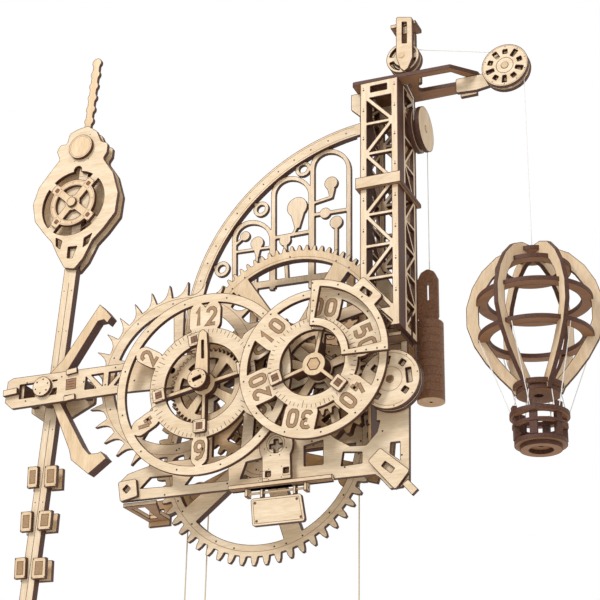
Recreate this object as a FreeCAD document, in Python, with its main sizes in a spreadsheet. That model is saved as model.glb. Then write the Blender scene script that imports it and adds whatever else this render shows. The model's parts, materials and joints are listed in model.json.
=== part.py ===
# A wooden mechanical wall model cut from plywood sheet: two turning numbered
# dials, an escape wheel rocked by a pendulum, a weight-driven wheel train, a
# lattice tower with a jib, and a basket balloon that hangs on a thread and
# climbs as a counterweight sinks.  Units are millimetres.  +X is to the right
# of the front view, +Y goes back into the wall and +Z is up.
#
# Nearly every piece is a flat plate.  A plate is drawn as a sketch in its own
# plane and padded by one or more thicknesses of sheet.  Depths are measured
# along +Y from the dial plane; a final placement moves everything so that the
# origin lies midway between the two wall screws, on the back face.
import FreeCAD, Part
import math, os

V = FreeCAD.Vector
doc = FreeCAD.newDocument("WallModel")

# ---------------------------------------------------------------- dimensions
sheet = doc.addObject("Spreadsheet::Sheet", "dims")
DIMS = [
    ("ply", 3.0, "sheet thickness"),
    ("y_mask", -13.0, "window mask"),
    ("y_cap", -8.0, "retainer squares and pointer cap"),
    ("y_minute", -5.0, "minute dial"),
    ("y_hour", 1.0, "hour dial"),
    ("y_motion", 9.0, "motion wheels"),
    ("y_front", 14.0, "front frame"),
    ("y_transfer", 18.5, "transfer wheel"),
    ("y_anchor", 20.0, "anchor"),
    ("y_escape", 23.0, "escape wheel"),
    ("y_rod", 29.2, "pendulum rod"),
    ("y_upper", 31.0, "upper wheel"),
    ("y_idler", 37.5, "idler wheel"),
    ("y_great", 42.0, "great wheel"),
    ("y_arc", 46.0, "arc"),
    ("y_rear", 57.0, "rear frame"),
    ("y_wall", 60.0, "wall plane"),
    ("y_tower", -10.0, "tower front face"),
    ("tower_deep", 39.5, "tower depth"),
    ("stud_radius", 2.5, "radius of every stud"),
    ("bore_radius", 2.56, "radius of every running bore"),
    ("journal_radius", 5.0, "radius of arbors that turn in bushes"),
    ("journal_bore", 5.06, "bore of those bushes"),
    ("hub_across", 5.0, "hexagonal hub, centre to corner"),
    ("screw_hole", 2.5, "wall screw hole radius"),
    ("screw_pitch", 120.0, "distance between the wall screws"),
    ("mod_main", 2.0, "module of upper wheel and motion wheels"),
    ("mod_great", 3.04, "module of the great wheel"),
    ("mod_hour", 1.2, "module of hour wheel"),
    ("mod_transfer", 2.4, "module of transfer wheel"),
    ("teeth_upper", 80, "upper wheel"),
    ("teeth_escape_pinion", 9, "pinion on the escape arbor"),
    ("teeth_minute", 34, "minute wheel"),
    ("teeth_front_pinion", 12, "front pinion of the upper wheel"),
    ("teeth_rear_pinion", 10, "rear pinion of the upper wheel"),
    ("teeth_idler", 21, "idler wheel"),
    ("teeth_idler_pinion", 8, "idler pinion"),
    ("teeth_great", 56, "great wheel"),
    ("teeth_cannon", 12, "pinion behind the minute wheel"),
    ("teeth_transfer", 36, "transfer wheel"),
    ("teeth_transfer_pinion", 12, "transfer pinion"),
    ("teeth_hour", 48, "hour wheel"),
    ("teeth_escape", 30, "escape wheel"),
    ("swing", 3.8, "pendulum angle as drawn, degrees"),
    ("cord_radius", 0.5, "drive cord radius"),
    ("thread_radius", 0.3, "balloon thread radius"),
]
S = {}
for i, (name, value, note) in enumerate(DIMS, 1):
    sheet.set("A%d" % i, note)
    sheet.set("B%d" % i, str(value))
    sheet.setAlias("B%d" % i, name)
    S[name] = value
doc.recompute()

PLY = S["ply"]

# ------------------------------------------------- plane geometry of plates
def face(pts):
    """A flat face from a list of corner points (a, b)."""
    area = sum(p[0] * q[1] - q[0] * p[1] for p, q in zip(pts, list(pts[1:]) + [pts[0]]))
    vs = [V(round(a, 4), round(b, 4), 0) for a, b in (pts if area > 0 else pts[::-1])]
    return Part.Face(Part.makePolygon(vs + [vs[0]]))

def circle_pts(c, r, n=72, start=0.0):
    return [(c[0] + r * math.cos(2 * math.pi * (i + start) / n),
             c[1] + r * math.sin(2 * math.pi * (i + start) / n)) for i in range(n)]

def disc(c, r, n=0, start=0.0):
    if not n:
        n = 24 if r < 12 else (48 if r < 30 else (96 if r < 100 else 144))
    return face(circle_pts(c, r, n, start))

def ring(c, ro, ri, n=0):
    return disc(c, ro, n).cut(disc(c, ri, n))

def bar(p, q, w, cap=0.0):
    """A straight strip of width w from p to q, lengthened by cap at each end."""
    dx, dz = q[0] - p[0], q[1] - p[1]
    n = math.hypot(dx, dz)
    ux, uz = dx / n, dz / n
    px, pz = -uz * w / 2, ux * w / 2
    a = (p[0] - ux * cap, p[1] - uz * cap)
    b = (q[0] + ux * cap, q[1] + uz * cap)
    return face([(a[0] + px, a[1] + pz), (a[0] - px, a[1] - pz),
                 (b[0] - px, b[1] - pz), (b[0] + px, b[1] + pz)])

def capsule(p, q, w, n=10):
    dx, dz = q[0] - p[0], q[1] - p[1]
    a0 = math.atan2(dz, dx)
    pts = [(q[0] + w / 2 * math.cos(a0 - math.pi / 2 + math.pi * i / n),
            q[1] + w / 2 * math.sin(a0 - math.pi / 2 + math.pi * i / n)) for i in range(n + 1)]
    pts += [(p[0] + w / 2 * math.cos(a0 + math.pi / 2 + math.pi * i / n),
             p[1] + w / 2 * math.sin(a0 + math.pi / 2 + math.pi * i / n)) for i in range(n + 1)]
    return face(pts)

def rounded(pts, r, n=5):
    """The outline pts with every corner rounded to radius r (less if it does not fit)."""
    out = []
    m = len(pts)
    for i in range(m):
        a, b, c = pts[i - 1], pts[i], pts[(i + 1) % m]
        v1 = (a[0] - b[0], a[1] - b[1]); v2 = (c[0] - b[0], c[1] - b[1])
        l1 = math.hypot(*v1); l2 = math.hypot(*v2)
        u1 = (v1[0] / l1, v1[1] / l1); u2 = (v2[0] / l2, v2[1] / l2)
        cosang = max(-1, min(1, u1[0] * u2[0] + u1[1] * u2[1]))
        half = math.acos(cosang) / 2
        if half > 1.5 or half < 0.05:
            out.append(b); continue
        t = min(r / math.tan(half), 0.45 * l1, 0.45 * l2)
        rr = t * math.tan(half)
        bis = (u1[0] + u2[0], u1[1] + u2[1]); lb = math.hypot(*bis)
        d = rr / math.sin(half)
        cc = (b[0] + bis[0] / lb * d, b[1] + bis[1] / lb * d)
        p1 = (b[0] + u1[0] * t, b[1] + u1[1] * t); p2 = (b[0] + u2[0] * t, b[1] + u2[1] * t)
        a1 = math.atan2(p1[1] - cc[1], p1[0] - cc[0]); a2 = math.atan2(p2[1] - cc[1], p2[0] - cc[0])
        da = (a2 - a1 + math.pi) % (2 * math.pi) - math.pi
        for k in range(n + 1):
            out.append((cc[0] + rr * math.cos(a1 + da * k / n), cc[1] + rr * math.sin(a1 + da * k / n)))
    return out

def arc_band(c, ro, ri, a0, a1, n=48):
    """Part of a ring between two angles in degrees."""
    angs = [math.radians(a0 + (a1 - a0) * i / n) for i in range(n + 1)]
    return face([(c[0] + ro * math.cos(a), c[1] + ro * math.sin(a)) for a in angs] +
                [(c[0] + ri * math.cos(a), c[1] + ri * math.sin(a)) for a in reversed(angs)])

def join(*parts):
    """The outline of several faces laid over one another."""
    solids = [f.extrude(V(0, 0, 1)) for p in parts for f in p.Faces]
    whole = solids[0].fuse(solids[1:]) if len(solids) > 1 else solids[0]
    whole = whole.removeSplitter()
    return Part.Compound([f for f in whole.Faces if abs(f.CenterOfMass.z) < 1e-6])

def holes(base, *tools):
    return base.cut(list(tools)).removeSplitter()

def square(c, side, deg=0.0):
    a = math.radians(deg)
    h = side / 2
    return face([(c[0] + x * math.cos(a) - y * math.sin(a), c[1] + x * math.sin(a) + y * math.cos(a))
                 for x, y in ((-h, -h), (h, -h), (h, h), (-h, h))])

def rect(c, wx, wz, deg=0.0):
    a = math.radians(deg)
    return face([(c[0] + x * math.cos(a) - y * math.sin(a), c[1] + x * math.sin(a) + y * math.cos(a))
                 for x, y in ((-wx / 2, -wz / 2), (wx / 2, -wz / 2), (wx / 2, wz / 2), (-wx / 2, wz / 2))])

def polar(c, r, deg):
    return (c[0] + r * math.cos(math.radians(deg)), c[1] + r * math.sin(math.radians(deg)))

def gear_pts(c, m, z, phase=0.0, add=1.0, ded=1.2):
    """Outline of a spur gear with straight-flanked teeth; a tooth centre lies at phase degrees."""
    rp = m * z / 2.0
    ro, ri = rp + add * m, rp - ded * m
    step = 360.0 / z
    out = []
    for k in range(z):
        a = phase + k * step
        for r, w in ((ri, 0.33), (rp, 0.235), (ro, 0.11)):
            out.append((a - w * step, r, 0))
        for r, w in ((ro, 0.11), (rp, 0.235), (ri, 0.33)):
            out.append((a + w * step, r, 0))
    return [polar(c, r, a) for a, r, _ in out]

def hexa(c, r=None, start=0.0):
    return disc(c, r if r else S["hub_across"], 6, start)

# ---------------------------------------------------------- plates as bodies
SCREW_MID = (-15.0, 2.0)     # midway between the two wall screws
FRAME = V(-SCREW_MID[0], -S["y_wall"], -SCREW_MID[1])
NODES = []

PLANES = {
    # local x, y, z axes of a sketch plane in the frame of the model
    "XZ": FreeCAD.Rotation(V(1, 0, 0), V(0, 0, 1), V(0, -1, 0), "XYZ"),
    "XY": FreeCAD.Rotation(V(1, 0, 0), V(0, 1, 0), V(0, 0, 1), "XYZ"),
    "YZ": FreeCAD.Rotation(V(0, 1, 0), V(0, 0, 1), V(1, 0, 0), "XYZ"),
}

def fill_sketch(sk, region):
    geo = []
    for f in region.Faces:
        for w in f.Wires:
            pts = [(round(v.X, 4), round(v.Y, 4)) for v in w.OrderedVertexes]
            clean = []
            for p in pts:
                if not clean or math.hypot(p[0] - clean[-1][0], p[1] - clean[-1][1]) > 0.003:
                    clean.append(p)
            if math.hypot(clean[0][0] - clean[-1][0], clean[0][1] - clean[-1][1]) <= 0.003:
                clean.pop()
            for a, b in zip(clean, clean[1:] + clean[:1]):
                geo.append(Part.LineSegment(V(a[0], a[1], 0), V(b[0], b[1], 0)))
    sk.addGeometry(geo, False)

def plate(label, layers, plane="XZ", place=None):
    """One body made of padded layers: (region, start, length) with start and length as sheet expressions."""
    body = doc.addObject("PartDesign::Body", "Body_" + label)
    body.Label = label
    base = [f for f in body.Origin.OriginFeatures if f.Role == "XY_Plane"][0]
    for k, (region, start, length) in enumerate(layers):
        sk = body.newObject("Sketcher::SketchObject", "Sketch_%s_%d" % (label, k))
        sk.AttachmentSupport = [(base, "")]
        sk.MapMode = "FlatFace"
        fill_sketch(sk, region)
        sk.setExpression("AttachmentOffset.Base.z", ("-(%s)" if plane == "XZ" else "(%s)") % start)
        pad = body.newObject("PartDesign::Pad", "Pad_%s_%d" % (label, k))
        pad.Profile = sk
        pad.setExpression("Length", length)
        pad.Reversed = (plane == "XZ")
    own = FreeCAD.Placement(FRAME, PLANES[plane])
    body.Placement = (place.multiply(own) if place else own)
    NODES.append(body)
    return body

def strip(label, region, start, length, plane="XZ", place=None):
    """A single plate that belongs to a group of plates."""
    sk = doc.addObject("Sketcher::SketchObject", "Sketch_" + label)
    fill_sketch(sk, region)
    sk.Placement = FreeCAD.Placement(V(0, 0, 0), FreeCAD.Rotation())
    sign = -1 if plane == "XZ" else 1
    ex = doc.addObject("Part::Extrusion", label)
    ex.Base = sk
    ex.DirMode = "Custom"
    ex.Dir = V(0, 0, sign)
    ex.Solid = True
    ex.setExpression("LengthFwd", length)
    rot = PLANES[plane]
    s0 = start
    shift = rot.multVec(V(0, 0, sign * s0))
    own = FreeCAD.Placement(FRAME + shift, rot)
    ex.Placement = (place.multiply(own) if place else own)
    return ex

def group(label, members):
    comp = doc.addObject("Part::Compound", "Group_" + label)
    comp.Label = label
    comp.Links = members
    NODES.append(comp)
    return comp

def pin(label, c, y0, y1, r, plane="XZ"):
    """A round pin along the depth (XZ), the height (XY) or the width (YZ)."""
    cyl = doc.addObject("Part::Cylinder", label)
    cyl.Radius = r
    cyl.Height = y1 - y0
    if plane == "XZ":
        cyl.Placement = FreeCAD.Placement(FRAME + V(c[0], y0, c[1]), FreeCAD.Rotation(V(1, 0, 0), -90))
    elif plane == "XY":
        cyl.Placement = FreeCAD.Placement(FRAME + V(c[0], c[1], y0), FreeCAD.Rotation())
    else:
        cyl.Placement = FreeCAD.Placement(FRAME + V(y0, c[0], c[1]), FreeCAD.Rotation(V(0, 1, 0), 90))
    return cyl

def hub(label, c, pieces, y0, y1, r=None):
    """A hexagonal sleeve with a round running bore, carrying gears cut in the same stack."""
    body = doc.addObject("PartDesign::Body", "Body_" + label)
    body.Label = label
    base = [f for f in body.Origin.OriginFeatures if f.Role == "XY_Plane"][0]
    todo = [(hexa(c, r), y0, y1 - y0)] + pieces
    for k, (region, start, length) in enumerate(todo):
        sk = body.newObject("Sketcher::SketchObject", "Sketch_%s_%d" % (label, k))
        sk.AttachmentSupport = [(base, "")]
        sk.MapMode = "FlatFace"
        fill_sketch(sk, region)
        sk.AttachmentOffset = FreeCAD.Placement(V(0, 0, -start), FreeCAD.Rotation())
        pad = body.newObject("PartDesign::Pad", "Pad_%s_%d" % (label, k))
        pad.Profile = sk
        pad.Length = length
        pad.Reversed = True
    sk = body.newObject("Sketcher::SketchObject", "Sketch_%s_bore" % label)
    sk.AttachmentSupport = [(base, "")]
    sk.MapMode = "FlatFace"
    sk.AttachmentOffset = FreeCAD.Placement(V(0, 0, -(y0 - 1)), FreeCAD.Rotation())
    g = sk.addGeometry(Part.Circle(V(c[0], c[1], 0), V(0, 0, 1), S["bore_radius"]), False)
    import Sketcher
    rc = sk.addConstraint(Sketcher.Constraint("Radius", g, S["bore_radius"]))
    sk.setExpression("Constraints[%d]" % rc, "dims.bore_radius")
    cutter = body.newObject("PartDesign::Pocket", "Pocket_%s_bore" % label)
    cutter.Profile = sk
    cutter.Length = y1 - y0 + 2
    cutter.Reversed = False
    body.Placement = FreeCAD.Placement(FRAME, PLANES["XZ"])
    NODES.append(body)
    return body

def arbor(label, c, pieces, y0, y1, j0, j1, r=None):
    """A solid shaft: hexagonal seats at both ends, a round journal from j0 to j1, gears in the stack."""
    import Sketcher
    body = doc.addObject("PartDesign::Body", "Body_" + label)
    body.Label = label
    base = [f for f in body.Origin.OriginFeatures if f.Role == "XY_Plane"][0]
    todo = [(hexa(c, r), y0, j0 - y0), (None, j0, j1 - j0), (hexa(c, r), j1, y1 - j1)] + pieces
    for k, (region, start, length) in enumerate(todo):
        sk = body.newObject("Sketcher::SketchObject", "Sketch_%s_%d" % (label, k))
        sk.AttachmentSupport = [(base, "")]
        sk.MapMode = "FlatFace"
        sk.AttachmentOffset = FreeCAD.Placement(V(0, 0, -start), FreeCAD.Rotation())
        if region is None:
            g = sk.addGeometry(Part.Circle(V(c[0], c[1], 0), V(0, 0, 1), S["journal_radius"]), False)
            rc = sk.addConstraint(Sketcher.Constraint("Radius", g, S["journal_radius"]))
            sk.setExpression("Constraints[%d]" % rc, "dims.journal_radius")
        else:
            fill_sketch(sk, region)
        pad = body.newObject("PartDesign::Pad", "Pad_%s_%d" % (label, k))
        pad.Profile = sk
        pad.Length = length
        pad.Reversed = True
    body.Placement = FreeCAD.Placement(FRAME, PLANES["XZ"])
    NODES.append(body)
    return body

def bush(label, c, y0, y1, r_out=8.5):
    """A fixed bush with a hexagonal outside and a round bore for a journal."""
    hexs = doc.addObject("Part::Prism", label + "_block")
    hexs.Polygon = 6
    hexs.Circumradius = r_out
    hexs.Height = y1 - y0
    hexs.Placement = FreeCAD.Placement(FRAME + V(c[0], y0, c[1]), FreeCAD.Rotation(V(1, 0, 0), -90))
    cyl = doc.addObject("Part::Cylinder", label + "_bore")
    cyl.setExpression("Radius", "dims.journal_bore")
    cyl.Height = y1 - y0 + 2
    cyl.Placement = FreeCAD.Placement(FRAME + V(c[0], y0 - 1, c[1]), FreeCAD.Rotation(V(1, 0, 0), -90))
    cut = doc.addObject("Part::Cut", label)
    cut.Base = hexs
    cut.Tool = cyl
    return cut

# ------------------------------------------------------------ wheel geometry
def meet(c1, r1, c2, r2, side):
    """A point r1 from c1 and r2 from c2; side picks the left (+1) or right (-1) one seen from c1."""
    dx, dz = c2[0] - c1[0], c2[1] - c1[1]
    d = math.hypot(dx, dz)
    a = (r1 * r1 - r2 * r2 + d * d) / (2 * d)
    k = math.sqrt(max(0.0, r1 * r1 - a * a))
    ux, uz = dx / d, dz / d
    return (c1[0] + a * ux - side * k * uz, c1[1] + a * uz + side * k * ux)

def toward(a, b, r):
    d = math.hypot(b[0] - a[0], b[1] - a[1])
    return (a[0] + (b[0] - a[0]) * r / d, a[1] + (b[1] - a[1]) * r / d)

def pair(m, z1, z2):
    return m * (z1 + z2) / 2.0

MIN = (12.2, -52.3)                                   # minute dial axis
HOUR = (-77.0, -53.0)                                 # hour dial axis
UP = toward(MIN, (-21.0, -20.6), pair(S["mod_main"], S["teeth_minute"], S["teeth_front_pinion"]))
ESC = toward(UP, (-109.1, -34.5), pair(S["mod_main"], S["teeth_upper"], S["teeth_escape_pinion"]))
TRA = meet(MIN, pair(S["mod_transfer"], S["teeth_cannon"], S["teeth_transfer"]),
           HOUR, pair(S["mod_hour"], S["teeth_transfer_pinion"], S["teeth_hour"]), 1)
GREAT = (-45.3, -93.8)
IDL = meet(GREAT, pair(S["mod_great"], S["teeth_great"], S["teeth_idler_pinion"]),
           UP, pair(S["mod_main"], S["teeth_idler"], S["teeth_rear_pinion"]), -1)
PIV = (-220.7, -32.8)                            # pendulum pivot

def angle(a, b):
    return math.degrees(math.atan2(b[1] - a[1], b[0] - a[0]))

def mate(c1, z1, ph1, c2, z2):
    """Phase of gear 2 that puts its gap where gear 1 has its tooth."""
    al = angle(c1, c2)
    return al + 180 + 180.0 / z2 - (ph1 - al) * z1 / float(z2)

PH_UP = 0.0
PH_ESCP = mate(UP, S["teeth_upper"], PH_UP, ESC, S["teeth_escape_pinion"])
PH_FRONTP = 0.0
PH_MIN = mate(UP, S["teeth_front_pinion"], PH_FRONTP, MIN, S["teeth_minute"])
PH_CAN = 0.0
PH_TRA = mate(MIN, S["teeth_cannon"], PH_CAN, TRA, S["teeth_transfer"])
PH_TRAP = 0.0
PH_HOUR = mate(TRA, S["teeth_transfer_pinion"], PH_TRAP, HOUR, S["teeth_hour"])
PH_REARP = 0.0
PH_IDL = mate(UP, S["teeth_rear_pinion"], PH_REARP, IDL, S["teeth_idler"])
PH_IDLP = 0.0
PH_GREAT = mate(IDL, S["teeth_idler_pinion"], PH_IDLP, GREAT, S["teeth_great"])

def pinion(c, m, z, ph):
    """A small gear with slender teeth."""
    rp = m * z / 2.0
    ro, ri = rp + 0.85 * m, rp - 1.15 * m
    step = 360.0 / z
    out = []
    for k in range(z):
        a = ph + k * step
        for r, w in ((ri, 0.27), (rp, 0.2), (rp + 0.45 * m, 0.135), (ro, 0.055)):
            out.append(polar(c, r, a - w * step))
        for r, w in ((ro, 0.055), (rp + 0.45 * m, 0.135), (rp, 0.2), (ri, 0.27)):
            out.append(polar(c, r, a + w * step))
    return face(out)

def wheel(c, m, z, ph, add=0.9, ded=1.15):
    rp = m * z / 2.0
    ro, ri = rp + add * m, rp - ded * m
    step = 360.0 / z
    out = []
    for k in range(z):
        a = ph + k * step
        for r, w in ((ri, 0.3), (rp, 0.225), (ro, 0.1)):
            out.append(polar(c, r, a - w * step))
        for r, w in ((ro, 0.1), (rp, 0.225), (ri, 0.3)):
            out.append(polar(c, r, a + w * step))
    return face(out)

def spoked(c, rim_in, hub_r, n, start, w_in, w_out, bend=0.0):
    """Openings between n tapering spokes, with rounded corners, as one cutting face list."""
    out = []
    for k in range(n):
        a0, a1 = start + 360.0 * k / n, start + 360.0 * (k + 1) / n
        pts = []
        da = math.degrees(math.asin(w_out / 2 / rim_in))
        m = 14
        for i in range(m + 1):
            pts.append(polar(c, rim_in, a0 + da + (a1 - a0 - 2 * da) * i / m))
        db = math.degrees(math.asin(min(0.95, w_in / 2 / hub_r)))
        m2 = 5
        for i in range(m2 + 1):
            pts.append(polar(c, hub_r, a1 - db - (a1 - a0 - 2 * db) * i / m2))
        corner = [pts[0], pts[m], pts[m + 1], pts[-1]]
        out.append(face(pts))
    return out

# ------------------------------------------------------------ numbered dials
def dial(c, ro, ri, g_out, g_in, r_bubble, first, double, arms, mort_r):
    """Outer ring, six numeral plates, graduated inner ring; double says which numerals have two digits."""
    parts = [ring(c, ro, ri), ring(c, g_out, g_in)]
    for k in range(6):
        a = first + 60 * k
        rad = (math.cos(math.radians(a)), math.sin(math.radians(a)))
        tan = (-rad[1], rad[0])
        offs = (-6.2, 6.2) if double[k] else (0.0,)
        for o in offs:
            p = (c[0] + rad[0] * (r_bubble - 5.4) + tan[0] * o, c[1] + rad[1] * (r_bubble - 5.4) + tan[1] * o)
            q = (c[0] + rad[0] * (r_bubble + 5.4) + tan[0] * o, c[1] + rad[1] * (r_bubble + 5.4) + tan[1] * o)
            parts.append(capsule(p, q, 13.4))
        # a short neck keeps the plate and the graduated ring together
        parts.append(bar(polar(c, g_out - 3, a), polar(c, r_bubble, a), 8.0))
    out = join(*parts)
    return holes(out, *[square(polar(c, mort_r, a), 4.6, a) for a in arms])

HOUR_ARMS = (11, 101, 191, 271)
MIN_ARMS = (198, 318, 78)
hour_region = dial(HOUR, 70.6, 63.5, 43.0, 30.8, 52.0, 90, (1, 0, 0, 0, 0, 1), HOUR_ARMS, 34.5)
min_region = dial(MIN, 56.6, 50.3, 35.0, 24.8, 42.2, 78, (1, 1, 1, 1, 1, 1), MIN_ARMS, 28.5)

plate("hour_dial", [(hour_region, "dims.y_hour", "dims.ply")])
plate("minute_dial", [(min_region, "dims.y_minute", "dims.ply")])

def spider(c, arms, r_tenon, y_dial, y_back, cap_side):
    """Radial ribs that carry a dial, with tenons through the dial and square retainers on the front."""
    rib = [bar(polar(c, 6.5, a), polar(c, r_tenon + 4.0, a), PLY) for a in arms]
    core = join(disc(c, 9.0), *rib)
    core = holes(core, hexa(c))
    return core

def retainers(prefix, c, arms, r_tenon, y):
    out = []
    for i, a in enumerate(arms):
        sq = rounded([polar(c, 0, 0)] * 0 + [(polar(c, r_tenon, a)[0] + x * math.cos(math.radians(a)) - z * math.sin(math.radians(a)),
                       polar(c, r_tenon, a)[1] + x * math.sin(math.radians(a)) + z * math.cos(math.radians(a)))
                      for x, z in ((-5, -5), (5, -5), (5, 5), (-5, 5))], 1.2, 3)
        out.append(strip("%s_%d" % (prefix, i), holes(face(sq), square(polar(c, r_tenon, a), 4.6, a)), y, "dims.ply"))
    return out

def tenons(c, arms, r_tenon):
    return join(*[square(polar(c, r_tenon, a), 4.6, a) for a in arms]) if len(arms) > 1 else None

def spider_body(label, c, arms, r_tenon, y0, y_dial, y_back, near=None):
    core = spider(c, arms, r_tenon, y_dial, y_back, 0)
    ten = square(polar(c, r_tenon, arms[0]), 4.6, arms[0])
    if near:
        # the arms stay thin where the other dial's rim passes behind them
        layers = [(core, "%g" % (y_dial + PLY), "2.6"), (core.common(disc(c, near, 48)), "%g" % (y_dial + PLY + 2.6), "%g" % (y_back - y_dial - PLY - 2.6))]
    else:
        layers = [(core, "%g" % (y_dial + PLY), "%g" % (y_back - y_dial - PLY))]
    for a in arms:
        layers.append((square(polar(c, r_tenon, a), 4.6, a), "%g" % y0, "%g" % (y_dial + PLY - y0)))
    return plate(label, layers)

spider_body("hour_spider", HOUR, HOUR_ARMS, 34.5, S["y_hour"] - PLY, S["y_hour"], S["y_motion"])
spider_body("minute_spider", MIN, MIN_ARMS, 28.5, S["y_minute"] - PLY, S["y_minute"], S["y_motion"], 18.0)
group("hour_retainers", retainers("HourRetainer", HOUR, HOUR_ARMS, 34.5, S["y_hour"] - PLY))
group("minute_retainers", retainers("MinuteRetainer", MIN, MIN_ARMS, 28.5, S["y_minute"] - PLY))

# ---------------------------------------------------------------- going train
RB = 6.0   # hexagonal hub of the larger wheels, centre to corner
mw = holes(wheel(MIN, S["mod_main"], S["teeth_minute"], PH_MIN), hexa(MIN), *spoked(MIN, 27.0, 10.5, 5, 18, 6, 8))
plate("minute_wheel", [(mw, "dims.y_motion", "dims.ply")])
arbor("minute_arbor", MIN, [(pinion(MIN, S["mod_transfer"], S["teeth_cannon"], PH_CAN), S["y_transfer"], PLY)],
      S["y_minute"] + PLY, S["y_transfer"] + PLY, S["y_front"] - 2.0, S["y_front"] + PLY + 1.5)

hw = holes(wheel(HOUR, S["mod_hour"], S["teeth_hour"], PH_HOUR), hexa(HOUR), *spoked(HOUR, 22.0, 9.5, 4, 56, 6, 8))
plate("hour_wheel", [(hw, "dims.y_motion", "dims.ply")])
hub("hour_hub", HOUR, [], S["y_hour"] + PLY, S["y_motion"] + PLY + 0.5)

tw = holes(wheel(TRA, S["mod_transfer"], S["teeth_transfer"], PH_TRA), hexa(TRA), *spoked(TRA, 33.0, 10.5, 5, 10, 6, 8))
plate("transfer_wheel", [(tw, "dims.y_transfer", "dims.ply")])
arbor("transfer_arbor", TRA, [(pinion(TRA, S["mod_hour"], S["teeth_transfer_pinion"], PH_TRAP), S["y_motion"], PLY)],
      S["y_motion"], S["y_transfer"] + PLY, S["y_front"] - 2.0, S["y_front"] + PLY + 1.5)

uw = holes(wheel(UP, S["mod_main"], S["teeth_upper"], PH_UP), hexa(UP, RB), *spoked(UP, 69.8, 12.5, 5, 127, 9, 15))
ur = holes(disc(UP, 75.0, 144), hexa(UP, RB), *spoked(UP, 69.8, 12.5, 5, 127, 9, 15))
plate("upper_wheel", [(uw, "dims.y_upper", "dims.ply"), (ur, "dims.y_upper + dims.ply", "dims.ply")])
arbor("upper_arbor", UP, [(pinion(UP, S["mod_main"], S["teeth_front_pinion"], PH_FRONTP), S["y_motion"], PLY),
                          (pinion(UP, S["mod_main"], S["teeth_rear_pinion"], PH_REARP), S["y_idler"], PLY)],
      S["y_motion"], S["y_idler"] + PLY, S["y_front"] - 2.0, S["y_front"] + PLY + 5.0, RB)

def escape_region(c, n, r_tip, r_ring, r_in, first):
    pts = []
    step = 360.0 / n
    for k in range(n):
        a = first + k * step
        pts += [polar(c, r_ring, a - 1.0), polar(c, r_ring + 5.0, a - 0.75), polar(c, r_tip, a - 0.25),
                polar(c, r_tip, a + 0.15), polar(c, r_ring + 6.6, a + 1.4), polar(c, r_ring + 3.2, a + 2.9),
                polar(c, r_ring + 1.0, a + 5.0), polar(c, r_ring, a + 7.6)]
    return face(pts)

ew = holes(escape_region(ESC, S["teeth_escape"], 76.2, 65.0, 54.8, 2.3), hexa(ESC),
           *spoked(ESC, 54.8, 11.5, 5, 20, 7, 9))
plate("escape_wheel", [(ew, "dims.y_escape", "dims.ply")])
hub("escape_hub", ESC, [(pinion(ESC, S["mod_main"], S["teeth_escape_pinion"], PH_ESCP), S["y_upper"], PLY)],
    S["y_front"] + PLY + 0.5, S["y_upper"] + 2 * PLY)

iw = holes(wheel(IDL, S["mod_main"], S["teeth_idler"], PH_IDL), hexa(IDL), *spoked(IDL, 15.5, 8.5, 4, 20, 5, 6))
plate("idler_wheel", [(iw, "dims.y_idler", "dims.ply")])
hub("idler_hub", IDL, [(pinion(IDL, S["mod_great"], S["teeth_idler_pinion"], PH_IDLP), S["y_great"], 2 * PLY)],
    S["y_idler"], S["y_great"] + 2 * PLY)

gw = holes(wheel(GREAT, S["mod_great"], S["teeth_great"], PH_GREAT, 0.95, 1.2), hexa(GREAT, RB),
           *spoked(GREAT, 72.8, 24.0, 5, -70, 13, 15))
gr = holes(disc(GREAT, 79.0, 144), hexa(GREAT, RB), *spoked(GREAT, 72.8, 24.0, 5, -70, 13, 15))
plate("great_wheel", [(gw, "dims.y_great", "dims.ply"), (gr, "dims.y_great + dims.ply", "dims.ply")])
# winding drum: a grooved stack behind the great wheel
DR = 14.0
drum = holes(disc(GREAT, DR, 40), hexa(GREAT, RB))
flange = holes(disc(GREAT, DR + 3.5, 40), hexa(GREAT, RB))
drum_disc = plate("Drum_disc", [(drum, "dims.y_great + 2 * dims.ply", "6.2"), (flange, "dims.y_great + 2 * dims.ply + 6.2", "2")])
NODES.pop()
drum_core = hub("Drum_core", GREAT, [], S["y_great"], S["y_great"] + 2 * PLY + 8.2, RB)
NODES.pop()
group("winding_drum", [drum_disc, drum_core])

# -------------------------------------------------------------------- studs
r = S["stud_radius"]
yf, yr = S["y_front"], S["y_rear"]
front_studs = [
    pin("Stud_hour", HOUR, S["y_hour"] - 6.0, yf + PLY, r),
    pin("Stud_escape", ESC, yf, S["y_upper"] + 2 * PLY + 0.8, r),
]
group("front_bushes", [bush("Bush_minute", MIN, yf - 1.5, yf + PLY + 1.0), bush("Bush_upper", UP, yf - 1.5, yf + PLY + 1.0),
                       bush("Bush_transfer", TRA, yf - 1.5, yf + PLY + 1.0)])
rear_studs = [
    pin("Stud_idler", IDL, S["y_idler"] - 0.5, S["y_wall"], r),
    pin("Stud_great", GREAT, S["y_great"] - 1.2, S["y_wall"], r),
]

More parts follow.
